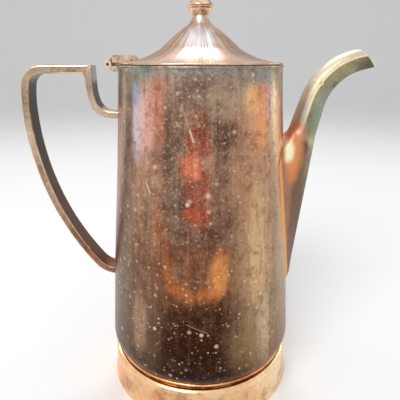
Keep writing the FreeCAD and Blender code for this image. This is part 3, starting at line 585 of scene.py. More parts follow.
def make_body_plate():
    """The body's tarnish with painted reflections: browns and copper with a bluish bloom, stained and
    spotted all over, a dark middle and pale streaks painted as reflections.
    """
    material, tree, shader = new_material("body_plate")
    spot = use(tree, ROUND_THE_POT)
    drift = cloud(tree, 60.0, 4.0, 0.6)[0]
    wide = cloud(tree, 26.0, 3.0, 0.5)[0]
    around = sums(tree, "ADD", spot["Around"],
                  sums(tree, "MULTIPLY", sums(tree, "SUBTRACT", drift, 0.5), 14.0))
    height = sums(tree, "ADD", spot["Height"],
                  sums(tree, "MULTIPLY", sums(tree, "SUBTRACT", wide, 0.5), 30.0))
    away = sums(tree, "ABSOLUTE", spot["Around"])
    front = sums(tree, "SUBTRACT", 1.0, ease(tree, away, 110.0, 150.0))
    # Tarnish with painted reflections: a dark middle column, and paler columns left and right on the front
    # half.
    colour = tone_up(tree, height, CENTRE_TARNISH_AND_REFLECTION_TONES)
    on_left = sums(tree, "MULTIPLY", ease(tree, around, -14.0, -36.0), front)
    colour = blend(tree, on_left, colour, tone_up(tree, height, LEFT_TARNISH_AND_REFLECTION_TONES))
    on_right = sums(tree, "MULTIPLY", ease(tree, around, 9.0, 33.0), front)
    colour = blend(tree, on_right, colour, tone_up(tree, height, RIGHT_TARNISH_AND_REFLECTION_TONES))
    ragged = cloud(tree, 1.0, 4.0, 0.65, stretch=(230.0, 230.0, 60.0))[0]
    wander = sums(tree, "MULTIPLY", sums(tree, "SUBTRACT", ragged, 0.5), 1.3)
    broken = ease(tree, cloud(tree, 260.0, 3.0, 0.6)[0], 0.32, 0.6)
    # Lay the stains and the painted reflections.
    for centre, level, half_width, half_height, stain, strength, edge in BODY_STAINS_AND_REFLECTIONS:
        mask = use(tree, STAIN, Around=spot["Around"], Height=spot["Height"], Centre=float(centre),
                   Level=float(level), Half_Width=float(half_width),
                   Half_Height=float(half_height), Wander=wander, Edge=edge,
                   Strength=strength)["Mask"]
        mask = sums(tree, "MULTIPLY", mask, sums(tree, "MULTIPLY_ADD", broken, 0.35, 0.65))
        colour = blend(tree, mask, colour, tone(*stain))
    # Streaks down the wall, blotches and a fine speckle. All are thicker towards the rim.
    near_rim = ease(tree, spot["Height"], 50.0, 170.0)
    streaks = cloud(tree, 1.0, 3.0, 0.6, stretch=(420.0, 420.0, 16.0))[0]
    pale = sums(tree, "MULTIPLY", ease(tree, streaks, 0.52, 0.70),
                sums(tree, "MULTIPLY_ADD", near_rim, 0.22, 0.04))
    colour = blend(tree, pale, colour, tone(0.84, 0.73, 0.62))
    colour = blend(tree, sums(tree, "MULTIPLY", ease(tree, streaks, 0.48, 0.32), 0.28), colour,
                   tone(0.22, 0.14, 0.11))
    blotches = cloud(tree, 190.0, 4.0, 0.65)[0]
    pale = sums(tree, "MULTIPLY", ease(tree, blotches, 0.50, 0.68),
                sums(tree, "MULTIPLY_ADD", near_rim, 0.26, 0.05))
    colour = blend(tree, pale, colour, tone(0.76, 0.65, 0.55))
    colour = blend(tree, sums(tree, "MULTIPLY", ease(tree, blotches, 0.50, 0.34), 0.34), colour,
                   tone(0.18, 0.11, 0.09))
    speckle = cloud(tree, 800.0, 2.0, 0.6)[0]
    pale = sums(tree, "MULTIPLY", ease(tree, speckle, 0.54, 0.66),
                sums(tree, "MULTIPLY_ADD", near_rim, 0.28, 0.05))
    colour = blend(tree, pale, colour, tone(0.82, 0.71, 0.62))
    colour = blend(tree, sums(tree, "MULTIPLY", ease(tree, speckle, 0.44, 0.34), 0.20), colour,
                   tone(0.16, 0.10, 0.09))
    colour, drops, lines = add_age(tree, colour, 165.0, 0.21, 0.80, (0.90, 0.79, 0.70), 0.6, 0.95)
    for (a, b), (c, d), half in LONG_SCRATCHES:
        long_scratch = use(tree, LONG_SCRATCH, Around=spot["Around"], Height=spot["Height"],
                           From_Around=float(a), From_Height=float(b), To_Around=float(c),
                           To_Height=float(d), Half_Width=half)["Mask"]
        colour = blend(tree, sums(tree, "MULTIPLY", long_scratch, 0.75), colour,
                       tone(0.90, 0.80, 0.72))
    bumps = sums(tree, "SUBTRACT", sums(tree, "MULTIPLY_ADD", blotches, 0.5, drops),
                 sums(tree, "MULTIPLY", lines, 0.5))
    add_surface(tree, shader, colour, 0.22, blotches, bumps, 0.00003)
    return material


def make_plate(name, light, middle, dark, scale=40.0, grain=0.4, rough=0.2, spots=0.45,
               spot=(0.82, 0.74, 0.68), scratch=0.5):
    """Plain plate of three tones with spots and scratches."""
    material, tree, shader = new_material(name)
    base = use(tree, MOTTLE, Light=tone(*light), Middle=tone(*middle), Dark=tone(*dark),
               Scale=scale, Grain=grain)
    colour, drops, lines = add_age(tree, base["Colour"], 200.0, 0.15, spots, spot, scratch, 0.6)
    bumps = sums(tree, "SUBTRACT", drops, sums(tree, "MULTIPLY", lines, 0.5))
    add_surface(tree, shader, colour, rough, base["Cloud"], bumps, 0.00002)
    return material


def make_lid_plate():
    """The lid: pale plate with fine spinning lines, pale and dark rays painted as the glare across them,
    and a painted highlight fan at the front.
    """
    material, tree, shader = new_material("lid_plate")
    spot = use(tree, ROUND_THE_POT)
    base = use(tree, MOTTLE, Light=tone(0.88, 0.77, 0.67), Middle=tone(0.79, 0.65, 0.55),
               Dark=tone(0.65, 0.50, 0.41), Scale=46.0, Grain=0.35)
    # Painted glare: pale and dark rays out from the axis, where light catches the spinning lines.
    glare_ray_place = place(tree, "ShaderNodeCombineXYZ", X=sums(tree, "MULTIPLY", spot["Around"], 0.42),
                      Y=sums(tree, "MULTIPLY", spot["Height"], 0.012)).outputs[0]
    glare_rays = cloud(tree, 1.0, 3.0, 0.7, where=glare_ray_place)[0]
    colour = blend(tree, sums(tree, "MULTIPLY", ease(tree, glare_rays, 0.46, 0.62), 0.5),
                   base["Colour"], tone(0.92, 0.85, 0.78))
    colour = blend(tree, sums(tree, "MULTIPLY", ease(tree, glare_rays, 0.5, 0.36), 0.45),
                   colour, tone(0.58, 0.46, 0.40))
    # The flare at the edge is pinker and duller than the slope above it.
    colour = blend(tree, sums(tree, "MULTIPLY", ease(tree, spot["Height"], 208.0, 201.0), 0.55),
                   colour, tone(0.60, 0.46, 0.38))
    # A painted highlight: a pale bluish fan on the front of the slope.
    highlight_fan = use(tree, STAIN, Around=spot["Around"], Height=spot["Height"], Centre=0.0, Level=212.0,
              Half_Width=27.0, Half_Height=10.0, Wander=0.0, Edge=0.6, Strength=1.0)["Mask"]
    highlight_fan = sums(tree, "MULTIPLY", highlight_fan, sums(tree, "MULTIPLY_ADD", ease(tree, glare_rays, 0.40, 0.58),
                                           0.55, 0.35))
    colour = blend(tree, highlight_fan, colour, tone(0.96, 0.98, 1.0))
    colour, spots, _ = add_age(tree, colour, 190.0, 0.14, 0.42, (0.95, 0.90, 0.85), 0.5, 0.5)
    where = place(tree, "ShaderNodeSeparateXYZ",
                  Vector=tree.nodes.new("ShaderNodeTexCoord").outputs["Object"])
    distance = sums(tree, "SQRT", sums(tree, "ADD",
                    sums(tree, "MULTIPLY", where.outputs["X"], where.outputs["X"]),
                    sums(tree, "MULTIPLY", where.outputs["Y"], where.outputs["Y"])))
    grooves = cloud(tree, 1.0, 2.0, where=place(
        tree, "ShaderNodeCombineXYZ", X=sums(tree, "MULTIPLY", distance, 4200.0)).outputs[0])[0]
    height = sums(tree, "ADD", sums(tree, "MULTIPLY", grooves, 0.35), spots)
    add_surface(tree, shader, colour, 0.27, base["Cloud"], height, 0.00002)
    return material


def make_spout_plate():
    """The spout: cream above its crease with painted shade below it, painted highlights on its crown,
    crease and mouth edge, orange and brown at the root.

    Its map runs from the top of the section (0) past the crease (0.6) to the keel (1).
    """
    material, tree, shader = new_material("spout_plate")
    where = place(tree, "ShaderNodeSeparateXYZ",
                  Vector=tree.nodes.new("ShaderNodeTexCoord").outputs["Object"])
    height = sums(tree, "MULTIPLY", where.outputs["Z"], 1000.0)
    reach = sums(tree, "MULTIPLY", where.outputs["X"], 1000.0)
    drift = sums(tree, "SUBTRACT", cloud(tree, 70.0, 4.0)[0], 0.5)
    section = place(tree, "ShaderNodeUVMap", {"uv_map": "section"}).outputs[0]
    section = place(tree, "ShaderNodeSeparateXYZ", Vector=section).outputs["X"]
    wander = sums(tree, "MULTIPLY_ADD", drift, 0.03, section)
    low_tone = use(tree, MOTTLE, Light=tone(0.68, 0.52, 0.40), Middle=tone(0.52, 0.38, 0.29),
                   Dark=tone(0.34, 0.23, 0.17), Scale=50.0, Grain=0.35)
    top_tone = use(tree, MOTTLE, Light=tone(0.87, 0.82, 0.71), Middle=tone(0.76, 0.71, 0.61),
                   Dark=tone(0.61, 0.57, 0.51), Scale=50.0, Grain=0.35)
    shaded_under_tone = use(tree, MOTTLE, Light=tone(0.78, 0.73, 0.59), Middle=tone(0.63, 0.58, 0.46),
                     Dark=tone(0.42, 0.37, 0.29), Scale=60.0, Grain=0.4)
    risen = ease(tree, sums(tree, "MULTIPLY_ADD", drift, 26.0, height), 158.0, 180.0)
    colour = blend(tree, risen, low_tone["Colour"], top_tone["Colour"])
    # A painted highlight: the top of the section paler on the neck.
    crown_highlight = sums(tree, "MULTIPLY", ease(tree, section, 0.48, 0.22),
                 ease(tree, height, 150.0, 172.0))
    colour = blend(tree, sums(tree, "MULTIPLY", crown_highlight, 0.6), colour, tone(0.96, 0.92, 0.84))
    small_wander = sums(tree, "MULTIPLY", drift, 1.0)
    for x, z, half_x, half_z, stain, strength in SPOUT_STAINS_AND_HIGHLIGHT:
        mask = use(tree, STAIN, Around=reach, Height=height, Centre=float(x), Level=float(z),
                   Half_Width=float(half_x), Half_Height=float(half_z), Wander=small_wander,
                   Edge=0.7, Strength=strength)["Mask"]
        colour = blend(tree, mask, colour, tone(*stain))
    # Painted shade: below the crease the side is darker, darker still low down and towards the tip, with a
    # teal strip by the keel.
    under = blend(tree, ease(tree, height, 110.0, 165.0), tone(0.40, 0.27, 0.20),
                  shaded_under_tone["Colour"])
    under = blend(tree, sums(tree, "MULTIPLY", ease(tree, reach, 84.0, 93.0), 0.7), under,
                  tone(0.24, 0.20, 0.16))
    teal_keel = sums(tree, "MULTIPLY", ease(tree, wander, 0.68, 0.84),
                     sums(tree, "MULTIPLY", ease(tree, height, 156.0, 166.0),
                          ease(tree, height, 190.0, 176.0)))
    under = blend(tree, sums(tree, "MULTIPLY", teal_keel, 0.6), under, tone(0.50, 0.62, 0.56))
    soft = ease(tree, wander, 0.58, 0.86)
    sharp = ease(tree, wander, 0.605, 0.64)
    mask = sums(tree, "MULTIPLY_ADD", sums(tree, "SUBTRACT", sharp, soft),
                ease(tree, height, 156.0, 172.0), soft)
    colour = blend(tree, mask, colour, under)
    # A painted highlight: a thin bright line along the crease high up.
    crease = sums(tree, "SUBTRACT", 1.0, ease(tree, sums(tree, "ABSOLUTE", sums(
        tree, "SUBTRACT", section, 0.59)), 0.01, 0.045))
    crease = sums(tree, "MULTIPLY", crease, ease(tree, height, 158.0, 178.0))
    colour = blend(tree, sums(tree, "MULTIPLY", crease, 0.75), colour, tone(0.98, 0.93, 0.76))
    # A gold line of solder along the body, painted bright as its highlight, and a painted highlight round
    # the mouth's edge.
    out = sums(tree, "SQRT", sums(tree, "ADD", sums(tree, "POWER", reach, 2.0), sums(
        tree, "POWER", sums(tree, "MULTIPLY", where.outputs["Y"], 1000.0), 2.0)))
    off_body = sums(tree, "MULTIPLY_ADD", height, 0.087, sums(tree, "SUBTRACT", out, 61.47))
    solder_and_highlight = sums(tree, "MULTIPLY", ease(tree, off_body, 1.3, 0.6),
                  ease(tree, height, 156.0, 148.0))
    colour = blend(tree, sums(tree, "MULTIPLY", solder_and_highlight, 0.8), colour, tone(0.95, 0.70, 0.42))
    slanted = sums(tree, "MULTIPLY_ADD", reach, math.sin(MOUTH_SLANT),
                   sums(tree, "MULTIPLY", height, math.cos(MOUTH_SLANT)))
    colour = blend(tree, ease(tree, slanted, MOUTH_REACH - 1.1, MOUTH_REACH - 0.5), colour,
                   tone(0.97, 0.90, 0.78))
    colour, drops, lines = add_age(tree, colour, 180.0, 0.15, 0.45, (0.94, 0.88, 0.76), 0.6, 0.6)
    bumps = sums(tree, "SUBTRACT", drops, sums(tree, "MULTIPLY", lines, 0.5))
    add_surface(tree, shader, colour, 0.40, top_tone["Cloud"], bumps, 0.00002)
    return material


def make_handle_plate():
    """The handle: bronze above, copper-red low down, painted shade on the faces towards the body, and a
    painted pale sheen on the head's top.
    """
    material, tree, shader = new_material("handle_plate")
    places = tree.nodes.new("ShaderNodeTexCoord").outputs
    height = sums(tree, "MULTIPLY", place(tree, "ShaderNodeSeparateXYZ",
                                          Vector=places["Object"]).outputs["Z"], 1000.0)
    facing = place(tree, "ShaderNodeSeparateXYZ", Vector=places["Normal"]).outputs
    bronze = use(tree, MOTTLE, Light=tone(0.86, 0.78, 0.67), Middle=tone(0.73, 0.64, 0.54),
                 Dark=tone(0.54, 0.45, 0.37), Scale=48.0, Grain=0.45)
    copper = use(tree, MOTTLE, Light=tone(0.78, 0.60, 0.48), Middle=tone(0.60, 0.42, 0.32),
                 Dark=tone(0.38, 0.24, 0.18), Scale=60.0, Grain=0.45)
    drift = sums(tree, "SUBTRACT", cloud(tree, 50.0, 3.0)[0], 0.5)
    colour = blend(tree, ease(tree, sums(tree, "MULTIPLY_ADD", drift, 50.0, height), 80.0, 130.0),
                   copper["Colour"], bronze["Colour"])
    # Painted shade on the faces turned towards the body or down, darker higher up.
    away = sums(tree, "MAXIMUM", ease(tree, facing["X"], 0.5, 0.8),
                ease(tree, facing["Z"], -0.5, -0.8))
    wander = sums(tree, "MULTIPLY_ADD", drift, 40.0, height)
    painted_shade_and_sheen = blend(tree, ease(tree, wander, 85.0, 125.0), tone(0.48, 0.34, 0.28),
                   tone(0.34, 0.24, 0.19))
    painted_shade_and_sheen = blend(tree, ease(tree, wander, 125.0, 165.0), painted_shade_and_sheen, tone(0.09, 0.085, 0.075))
    # A painted highlight: the head's top faces pale bluish grey instead of shaded.
    head = sums(tree, "MULTIPLY", ease(tree, height, 186.0, 190.0),
                ease(tree, place(tree, "ShaderNodeSeparateXYZ",
                                 Vector=places["Object"]).outputs["X"], -0.066, -0.064))
    painted_shade_and_sheen = blend(tree, head, painted_shade_and_sheen, tone(0.70, 0.70, 0.72))
    colour = blend(tree, sums(tree, "MULTIPLY", away, 0.92), colour, painted_shade_and_sheen)
    colour, drops, lines = add_age(tree, colour, 220.0, 0.15, 0.45, (0.88, 0.80, 0.72), 0.6, 0.6)
    bumps = sums(tree, "SUBTRACT", drops, sums(tree, "MULTIPLY", lines, 0.5))
    add_surface(tree, shader, colour, 0.22, bronze["Cloud"], bumps, 0.00002)
    return material


def make_foot_plate():
    """The foot: bright pinkish gold with brown blotches, and painted shade in the cove under the bead."""
    material, tree, shader = new_material("foot_plate")
    spot = use(tree, ROUND_THE_POT)
    base = use(tree, MOTTLE, Light=tone(1.0, 0.89, 0.72), Middle=tone(0.96, 0.79, 0.60),
               Dark=tone(0.76, 0.54, 0.40), Scale=30.0, Grain=0.3)
    patches = cloud(tree, 55.0, 4.0, 0.6)[0]
    colour = blend(tree, sums(tree, "MULTIPLY", ease(tree, patches, 0.56, 0.70), 0.75),
                   base["Colour"], tone(0.62, 0.42, 0.30))
    colour = blend(tree, sums(tree, "MULTIPLY", ease(tree, patches, 0.44, 0.32), 0.7),
                   colour, tone(1.0, 0.66, 0.40))
    colour, drops, lines = add_age(tree, colour, 200.0, 0.15, 0.4, (1.0, 0.93, 0.82), 0.6, 0.6)
    streaks = cloud(tree, 1.0, 3.0, where=place(
        tree, "ShaderNodeCombineXYZ", X=sums(tree, "MULTIPLY", spot["Around"], 0.12),
        Y=sums(tree, "MULTIPLY", spot["Height"], 0.4)).outputs[0])[0]
    # Painted shade: the cove under the bead dark, streaked brown and copper.
    shaded_cove = blend(tree, ease(tree, streaks, 0.42, 0.62), tone(0.36, 0.20, 0.09),
                 tone(0.70, 0.44, 0.20))
    in_shaded_cove = sums(tree, "MULTIPLY", ease(tree, spot["Height"], 21.5, 21.8),
                   ease(tree, spot["Height"], 25.0, 24.4))
    colour = blend(tree, in_shaded_cove, colour, shaded_cove)
    bumps = sums(tree, "SUBTRACT", drops, sums(tree, "MULTIPLY", lines, 0.5))
    add_surface(tree, shader, colour, 0.14, base["Cloud"], bumps, 0.00002)
    return material


BODY_PLATE = make_body_plate()
LID_PLATE = make_lid_plate()
SPOUT_PLATE = make_spout_plate()
HANDLE_PLATE = make_handle_plate()
# Paler plate for the handle's rounded edges: wear and painted highlights along them.
HANDLE_EDGE_WEAR_AND_SHEEN = make_plate("handle_edge_wear_and_sheen", (0.95, 0.86, 0.76), (0.86, 0.74, 0.63), (0.68, 0.52, 0.42),
                         70.0, 0.4, 0.16)
FOOT_PLATE = make_foot_plate()
BRIGHT_WIRE = make_plate("bright_wire", (1.0, 0.80, 0.60), (0.97, 0.68, 0.48), (0.78, 0.48, 0.32),
                         60.0, 0.3, 0.14, 0.3)
LID_WIRE = make_plate("lid_wire", (0.93, 0.86, 0.78), (0.84, 0.72, 0.62), (0.62, 0.48, 0.40),
                      60.0, 0.3, 0.15, 0.3)
FINIAL_PLATE = make_plate("finial_plate", (1.0, 0.93, 0.82), (0.93, 0.80, 0.68),
                          (0.56, 0.42, 0.33), 120.0, 0.5, 0.2, 0.35)
HINGE_PLATE = make_plate("hinge_plate", (0.95, 0.88, 0.78), (0.80, 0.70, 0.60), (0.46, 0.36, 0.30),
                         130.0, 0.6, 0.24, 0.5)
INSIDE_PLATE = make_plate("inside_plate", (0.62, 0.55, 0.48), (0.46, 0.38, 0.32),
                          (0.30, 0.23, 0.19), 40.0, 0.4, 0.34, 0.4)
PIN_BRASS = make_plate("pin_brass", (0.74, 0.60, 0.48), (0.56, 0.44, 0.34), (0.34, 0.25, 0.19),
                       160.0, 0.5, 0.3, 0.3)


# ---------------------------------------------------------------- body and foot

def body_flank(inset=0.0, steps=26):
    """The body's side from the rim down to the heel, drawn in by the inset."""
    rim = (RIM_RADIUS - inset, RIM_HEIGHT)
    waist = (WAIST[0] - inset, WAIST[1])
    belly = (BELLY_RADIUS - inset, BELLY_HEIGHT)
    heel = (HEEL_RADIUS, HEEL_HEIGHT + (1.14 * MM if inset else 0.0))
    profile = [rim]
    profile += arc(rim, waist, 3.0, steps)
    profile += arc(waist, belly, -3.5, steps)
    profile += arc(belly, heel, -(13.6 * MM - inset), 14)
    return profile


def make_body_core(inset):
    """The solid inside the body's skin, to trim what is soldered to it."""
    flank = body_flank(inset)
    return spun("body_core", [(0, RIM_HEIGHT)] + flank + [(0, flank[-1][1])], 96)


def make_body():
    inside = body_flank(WALL)
    body = spun("body", ring(body_flank() + inside[::-1]))
    holes = None
    for row in range(6):
        for column in ((-1.5, -0.5, 0.5, 1.5) if row % 2 else (-1, 0, 1)):
            deselect()
            bpy.ops.mesh.primitive_cylinder_add(
                vertices=18, radius=1.8 * MM, depth=30 * MM, rotation=(0, math.pi / 2, 0),
                location=(52 * MM, column * 7.0 * MM, (106.0 + 6.5 * row) * MM))
            if holes:
                holes.select_set(True)
                bpy.context.view_layer.objects.active = holes
                bpy.ops.object.join()
            else:
                holes = bpy.context.object
                bpy.ops.object.transform_apply(location=True, rotation=True, scale=True)
    cut_away(body, holes, keep_tool=False)
    tidy(body)
    finished(body, BODY, "body_plate", BODY_PLATE, "body_shell")
    return body


def make_mouth_wire():
    outer = RIM_RADIUS + 0.5 * MM
    foot = low("mouth_wire").z
    profile = [(RIM_RADIUS - 0.3 * MM, foot), (outer, foot)]
    profile += arc(profile[-1], (outer - 0.1 * MM, RIM_HEIGHT), 0.75 * MM, 8)
    profile += [(RIM_RADIUS - 0.3 * MM, RIM_HEIGHT)]
    lip = spun("mouth_wire_lip", ring(profile))
    return finished(lip, BODY, "trim_plate", BODY_PLATE, "mouth_wire")


def make_foot():
    wall = 1.1 * MM
    lip = (FOOT_RADIUS, 0.0)
    waist = (57.3 * MM, 18.0 * MM)
    top = (55.2 * MM, 21.7 * MM)
    collar = (54.0 * MM, 21.7 * MM)
    profile = [(FOOT_RADIUS - 0.25 * MM, 0.0)]
    profile += arc(profile[-1], (FOOT_RADIUS - 0.02 * MM, 0.3 * MM), 0.3 * MM, 4)
    profile += arc(profile[-1], waist, -90 * MM, 16)
    profile += arc(waist, top, 3.9 * MM, 10)
    profile += [(54.35 * MM, 21.7 * MM)]
    profile += arc(profile[-1], (collar[0], 22.15 * MM), -0.5 * MM, 4)
    profile += [(collar[0], 24.2 * MM), (collar[0] - wall, 24.2 * MM), (collar[0] - wall, 20.6 * MM),
                (top[0] - wall, 20.6 * MM)]
    profile += arc(profile[-1], (waist[0] - wall, waist[1] - wall), -3.9 * MM, 8)
    profile += arc(profile[-1], (lip[0] - wall, 0.0), 90 * MM, 12)
    foot = spun("foot", ring(profile))
    cut_away(foot, make_body_core(0.4 * MM), keep_tool=False)
    tidy(foot)
    return finished(foot, BODY, "foot_plate", FOOT_PLATE, "foot_skirt")


def make_foot_bead():
    deselect()
    bpy.ops.mesh.primitive_torus_add(major_radius=54.6 * MM, minor_radius=0.8 * MM,
                                     major_segments=168, minor_segments=20,
                                     location=(0, 0, 24.5 * MM))
    bead = bpy.context.object
    bead.name = "shoulder_bead"
    bpy.ops.object.transform_apply(location=True, rotation=True, scale=True)
    cut_away(bead, make_body_core(0.4 * MM), keep_tool=False)
    tidy(bead, 60)
    return finished(bead, BODY, "trim_plate", BRIGHT_WIRE, "foot_bead")


# ---------------------------------------------------------------- lid and finial

def lid_flank(drop=0.0, inset=0.0):
    """The lid's side from its edge wire up to its neck."""
    edge = (43.9 * MM, WIRE_TOP - drop)
    flare = (21.5 * MM - inset, LID_FOOT + 8.3 * MM - drop)
    neck_base = (6.5 * MM - inset, LID_FOOT + 20.3 * MM - drop)
    profile = [edge] + arc(edge, flare, -44 * MM, 20) + arc(flare, neck_base, 110 * MM, 12)
    if not drop:
        profile += arc(neck_base, (3.9 * MM, LID_TOP), -7.4 * MM, 8)
    return profile


def make_lid():
    inside = lid_flank(0.8 * MM, 0.5 * MM)
    profile = lid_flank() + [(1.5 * MM, LID_TOP), (1.5 * MM, inside[-1][1])] + inside[::-1]
    return finished(spun("lid_dome", ring(profile)), LID, "lid_plate", LID_PLATE, "lid_shell")


def make_lid_edge():
    outer = high("lid_edge_wire").x
    inner = 43.9 * MM
    soft = 0.3 * MM
    profile = [(inner, LID_FOOT), (outer - soft, LID_FOOT)]
    profile += arc(profile[-1], (outer, LID_FOOT + soft), soft, 4)
    profile += [(outer, WIRE_TOP - soft)]
    profile += arc(profile[-1], (outer - soft, WIRE_TOP), soft, 4)
    profile += [(inner, WIRE_TOP)]
    return finished(spun("lid_edge", ring(profile)), LID, "lid_plate", LID_WIRE, "lid_edge_wire")


def make_finial():
    """A turned cup, a groove, a brim, a concave cone and a ball."""
    seat = (4.6 * MM, CUP_FOOT)
    bowl = (6.3 * MM, CUP_FOOT + 3.0 * MM)
    groove = CUP_FOOT + 3.35 * MM
    cup_top = high("finial_cup").z
    cup = [(0.0, CUP_FOOT), seat] + arc(seat, bowl, 7.0 * MM, 8)
    cup += [(5.95 * MM, groove)]
    cup += arc(cup[-1], (6.7 * MM, groove + 0.25 * MM), 0.8 * MM, 4)
    cup += [(6.7 * MM, cup_top - 0.2 * MM), (6.5 * MM, cup_top), (0.0, cup_top)]
    finished(spun("finial_bowl", cup, 72), LID, "finial_plate", FINIAL_PLATE, "finial_cup")
    brim = CAP_FOOT + 0.35 * MM
    cone_foot = (6.55 * MM, brim + 0.85 * MM)
    cone_top = (1.44 * MM, cone_foot[1] + 8.0 * MM)
    cap = [(0.0, CAP_FOOT), (5.95 * MM, CAP_FOOT), (5.95 * MM, brim)]
    cap += arc(cap[-1], (6.9 * MM, brim + 0.25 * MM), 1.2 * MM, 4)
    cap += [(6.9 * MM, brim + 0.5 * MM)]
    cap += arc(cap[-1], cone_foot, 0.6 * MM, 4)
    cap += arc(cone_foot, cone_top, -40 * MM, 12)
    ball = 2.4 * MM
    middle = POT_TOP - ball
    first = math.asin((cone_top[1] - middle) / ball)
    for i in range(1, 13):
        angle = first + (math.pi / 2 - first) * i / 12
        cap.append((ball * math.cos(angle), middle + ball * math.sin(angle)))
    cap[-1] = (0.0, POT_TOP)
    finished(spun("finial_cone", cap, 72), LID, "finial_plate", FINIAL_PLATE, "finial_cap")


# ---------------------------------------------------------------- hinge

def make_hinge():
    """Two leaves with rolled knuckles, and the pin with its ends rounded."""
    knuckle = 1.95 * MM
    gap = 0.4 * MM
    half = high("hinge_pin").y + 0.5 * MM
    slot = 4.25 * MM
    core = make_body_core(0.3 * MM)
    # The body's leaf.
    foot = low("hinge_body_leaf").z - 0.15 * MM
    back = PIVOT.x + 0.6 * knuckle
    inner = PIVOT.x + knuckle + gap + 3.5 * MM
    plate_top = RIM_HEIGHT - 0.45 * MM
    leaf = slab("hinge_bracket", [
        (back, foot + 0.6 * knuckle), (inner, foot), (inner, plate_top), (back, plate_top),
        (PIVOT.x, PIVOT.z), (PIVOT.x - 0.8 * knuckle, PIVOT.z - 0.6 * knuckle)], half)
    fuse(leaf, rod("knuckle", knuckle, half, PIVOT))
    cut_away(leaf, rod("slot", knuckle + gap, slot, PIVOT), keep_tool=False)
    cut_away(leaf, rod("bore", 0.85 * MM, 2 * half, PIVOT, 24), keep_tool=False)
    cut_away(leaf, core)
    soften(leaf, 0.22 * MM, 2)
    finished(leaf, BODY, "hinge_plate", HINGE_PLATE, "hinge_body_leaf")
    # The lid's leaf.
    tab_back = PIVOT.x + knuckle + gap
    tab_front = high("hinge_lid_leaf").x
    tab_top = high("hinge_lid_leaf").z
    tab_foot = LID_FOOT + 1.0 * MM
    chamfer = 1.9 * MM
    tab = slab("lid_tab", [
        (tab_back, tab_foot), (tab_front, tab_foot), (tab_front, tab_top - chamfer),
        (tab_front - chamfer, tab_top), (tab_back + 0.6 * MM, tab_top),
        (tab_back, tab_top - 0.6 * MM)], high("hinge_lid_leaf").y)
    web = slab("web", [
        (PIVOT.x, PIVOT.z), (tab_back + chamfer, tab_foot), (tab_back + chamfer, tab_top - 0.1 * MM),
        (tab_back + 0.6 * MM, tab_top - 0.1 * MM),
        (PIVOT.x - 0.6 * knuckle, PIVOT.z + 0.8 * knuckle)], 3.9 * MM)
    fuse(web, rod("lid_knuckle", knuckle, 3.9 * MM, PIVOT))
    fuse(tab, web)
    cut_away(tab, rod("bore", 0.85 * MM, 2 * half, PIVOT, 24), keep_tool=False)
    dome = lid_flank(0.05 * MM)
    cut_away(tab, spun("dome", [(0, RIM_HEIGHT), (45.2 * MM, RIM_HEIGHT), (45.2 * MM, WIRE_TOP - 0.05 * MM)]
                       + dome + [(0, dome[-1][1])], 120), keep_tool=False)
    soften(tab, 0.3 * MM, 2)
    finished(tab, LID, "hinge_plate", HINGE_PLATE, "hinge_lid_leaf")
    pin = rod("hinge_rivet", 0.8 * MM, high("hinge_pin").y, PIVOT, 24)
    soften(pin, 0.2 * MM, 2)
    finished(pin, BODY, "pin_brass", PIN_BRASS, "hinge_pin")
    bpy.data.objects.remove(core)


# ---------------------------------------------------------------- handle

def pick(piece, wanted):
    """Select just the vertices with the wanted numbers, and stay in edit mode."""
    if piece.mode != "EDIT":
        bpy.ops.object.mode_set(mode="EDIT")
    bpy.ops.mesh.select_mode(type="VERT")
    bpy.ops.mesh.select_all(action="DESELECT")
    bpy.ops.object.mode_set(mode="OBJECT")
    for vertex in piece.data.vertices:
        vertex.select = vertex.index in wanted
    bpy.ops.object.mode_set(mode="EDIT")
    bpy.ops.mesh.select_mode(type="VERT")


def strap(name, begin, start, heading, thick, legs):
    """Pull a flat strap along lines and left-turning arcs of the XZ plane.

    It begins with a slanted face over the two corners of begin, right hand first, and is square
    from start on. Heading is in degrees from +X towards +Z. A leg is (length,) or (radius, degrees).
    """
    place_now = Vector((start[0], 0, start[1]))
    angle = math.radians(heading)
    normal = Vector((-math.sin(angle), 0, math.cos(angle))) * (thick / 2)
    square = [place_now - normal, place_now + normal]
    shifts = [there - here for here, there in zip(begin, square)]
    width = Vector((0, STRAP_HALF, 0))
    piece = draw(name, [begin[0] - width, begin[1] - width, begin[1] + width, begin[0] + width])
    bpy.ops.mesh.edge_face_add()
    bpy.ops.mesh.select_all(action="SELECT")
    bpy.ops.mesh.extrude_region_move(TRANSFORM_OT_translate={"value": shifts[0]})
    bpy.ops.object.mode_set(mode="OBJECT")
    front = {vertex.index for vertex in piece.data.vertices if vertex.select}
    left_now = begin[1] + shifts[0]
    left = {index for index in front
            if (piece.data.vertices[index].co - left_now).length < STRAP_HALF + 0.1 * MM}
    pick(piece, left)
    bpy.ops.transform.translate(value=shifts[1] - shifts[0])
    pick(piece, front)
    for leg in legs:
        ahead = Vector((math.cos(angle), 0, math.sin(angle)))
        if len(leg) == 1:
            pieces = max(1, round(leg[0] / (6 * MM)))
            for _ in range(pieces):
                bpy.ops.mesh.extrude_region_move(
                    TRANSFORM_OT_translate={"value": ahead * (leg[0] / pieces)})
            place_now += ahead * leg[0]
            continue
        radius, turn = leg[0], math.radians(leg[1])
        centre = place_now + Vector((-ahead.z, 0, ahead.x)) * radius
        bpy.ops.mesh.spin(steps=max(4, round(leg[1] / 3)), angle=turn, center=centre, axis=(0, 1, 0))
        angle += turn
        place_now = centre + Vector((math.sin(angle), 0, -math.cos(angle))) * radius
    return piece


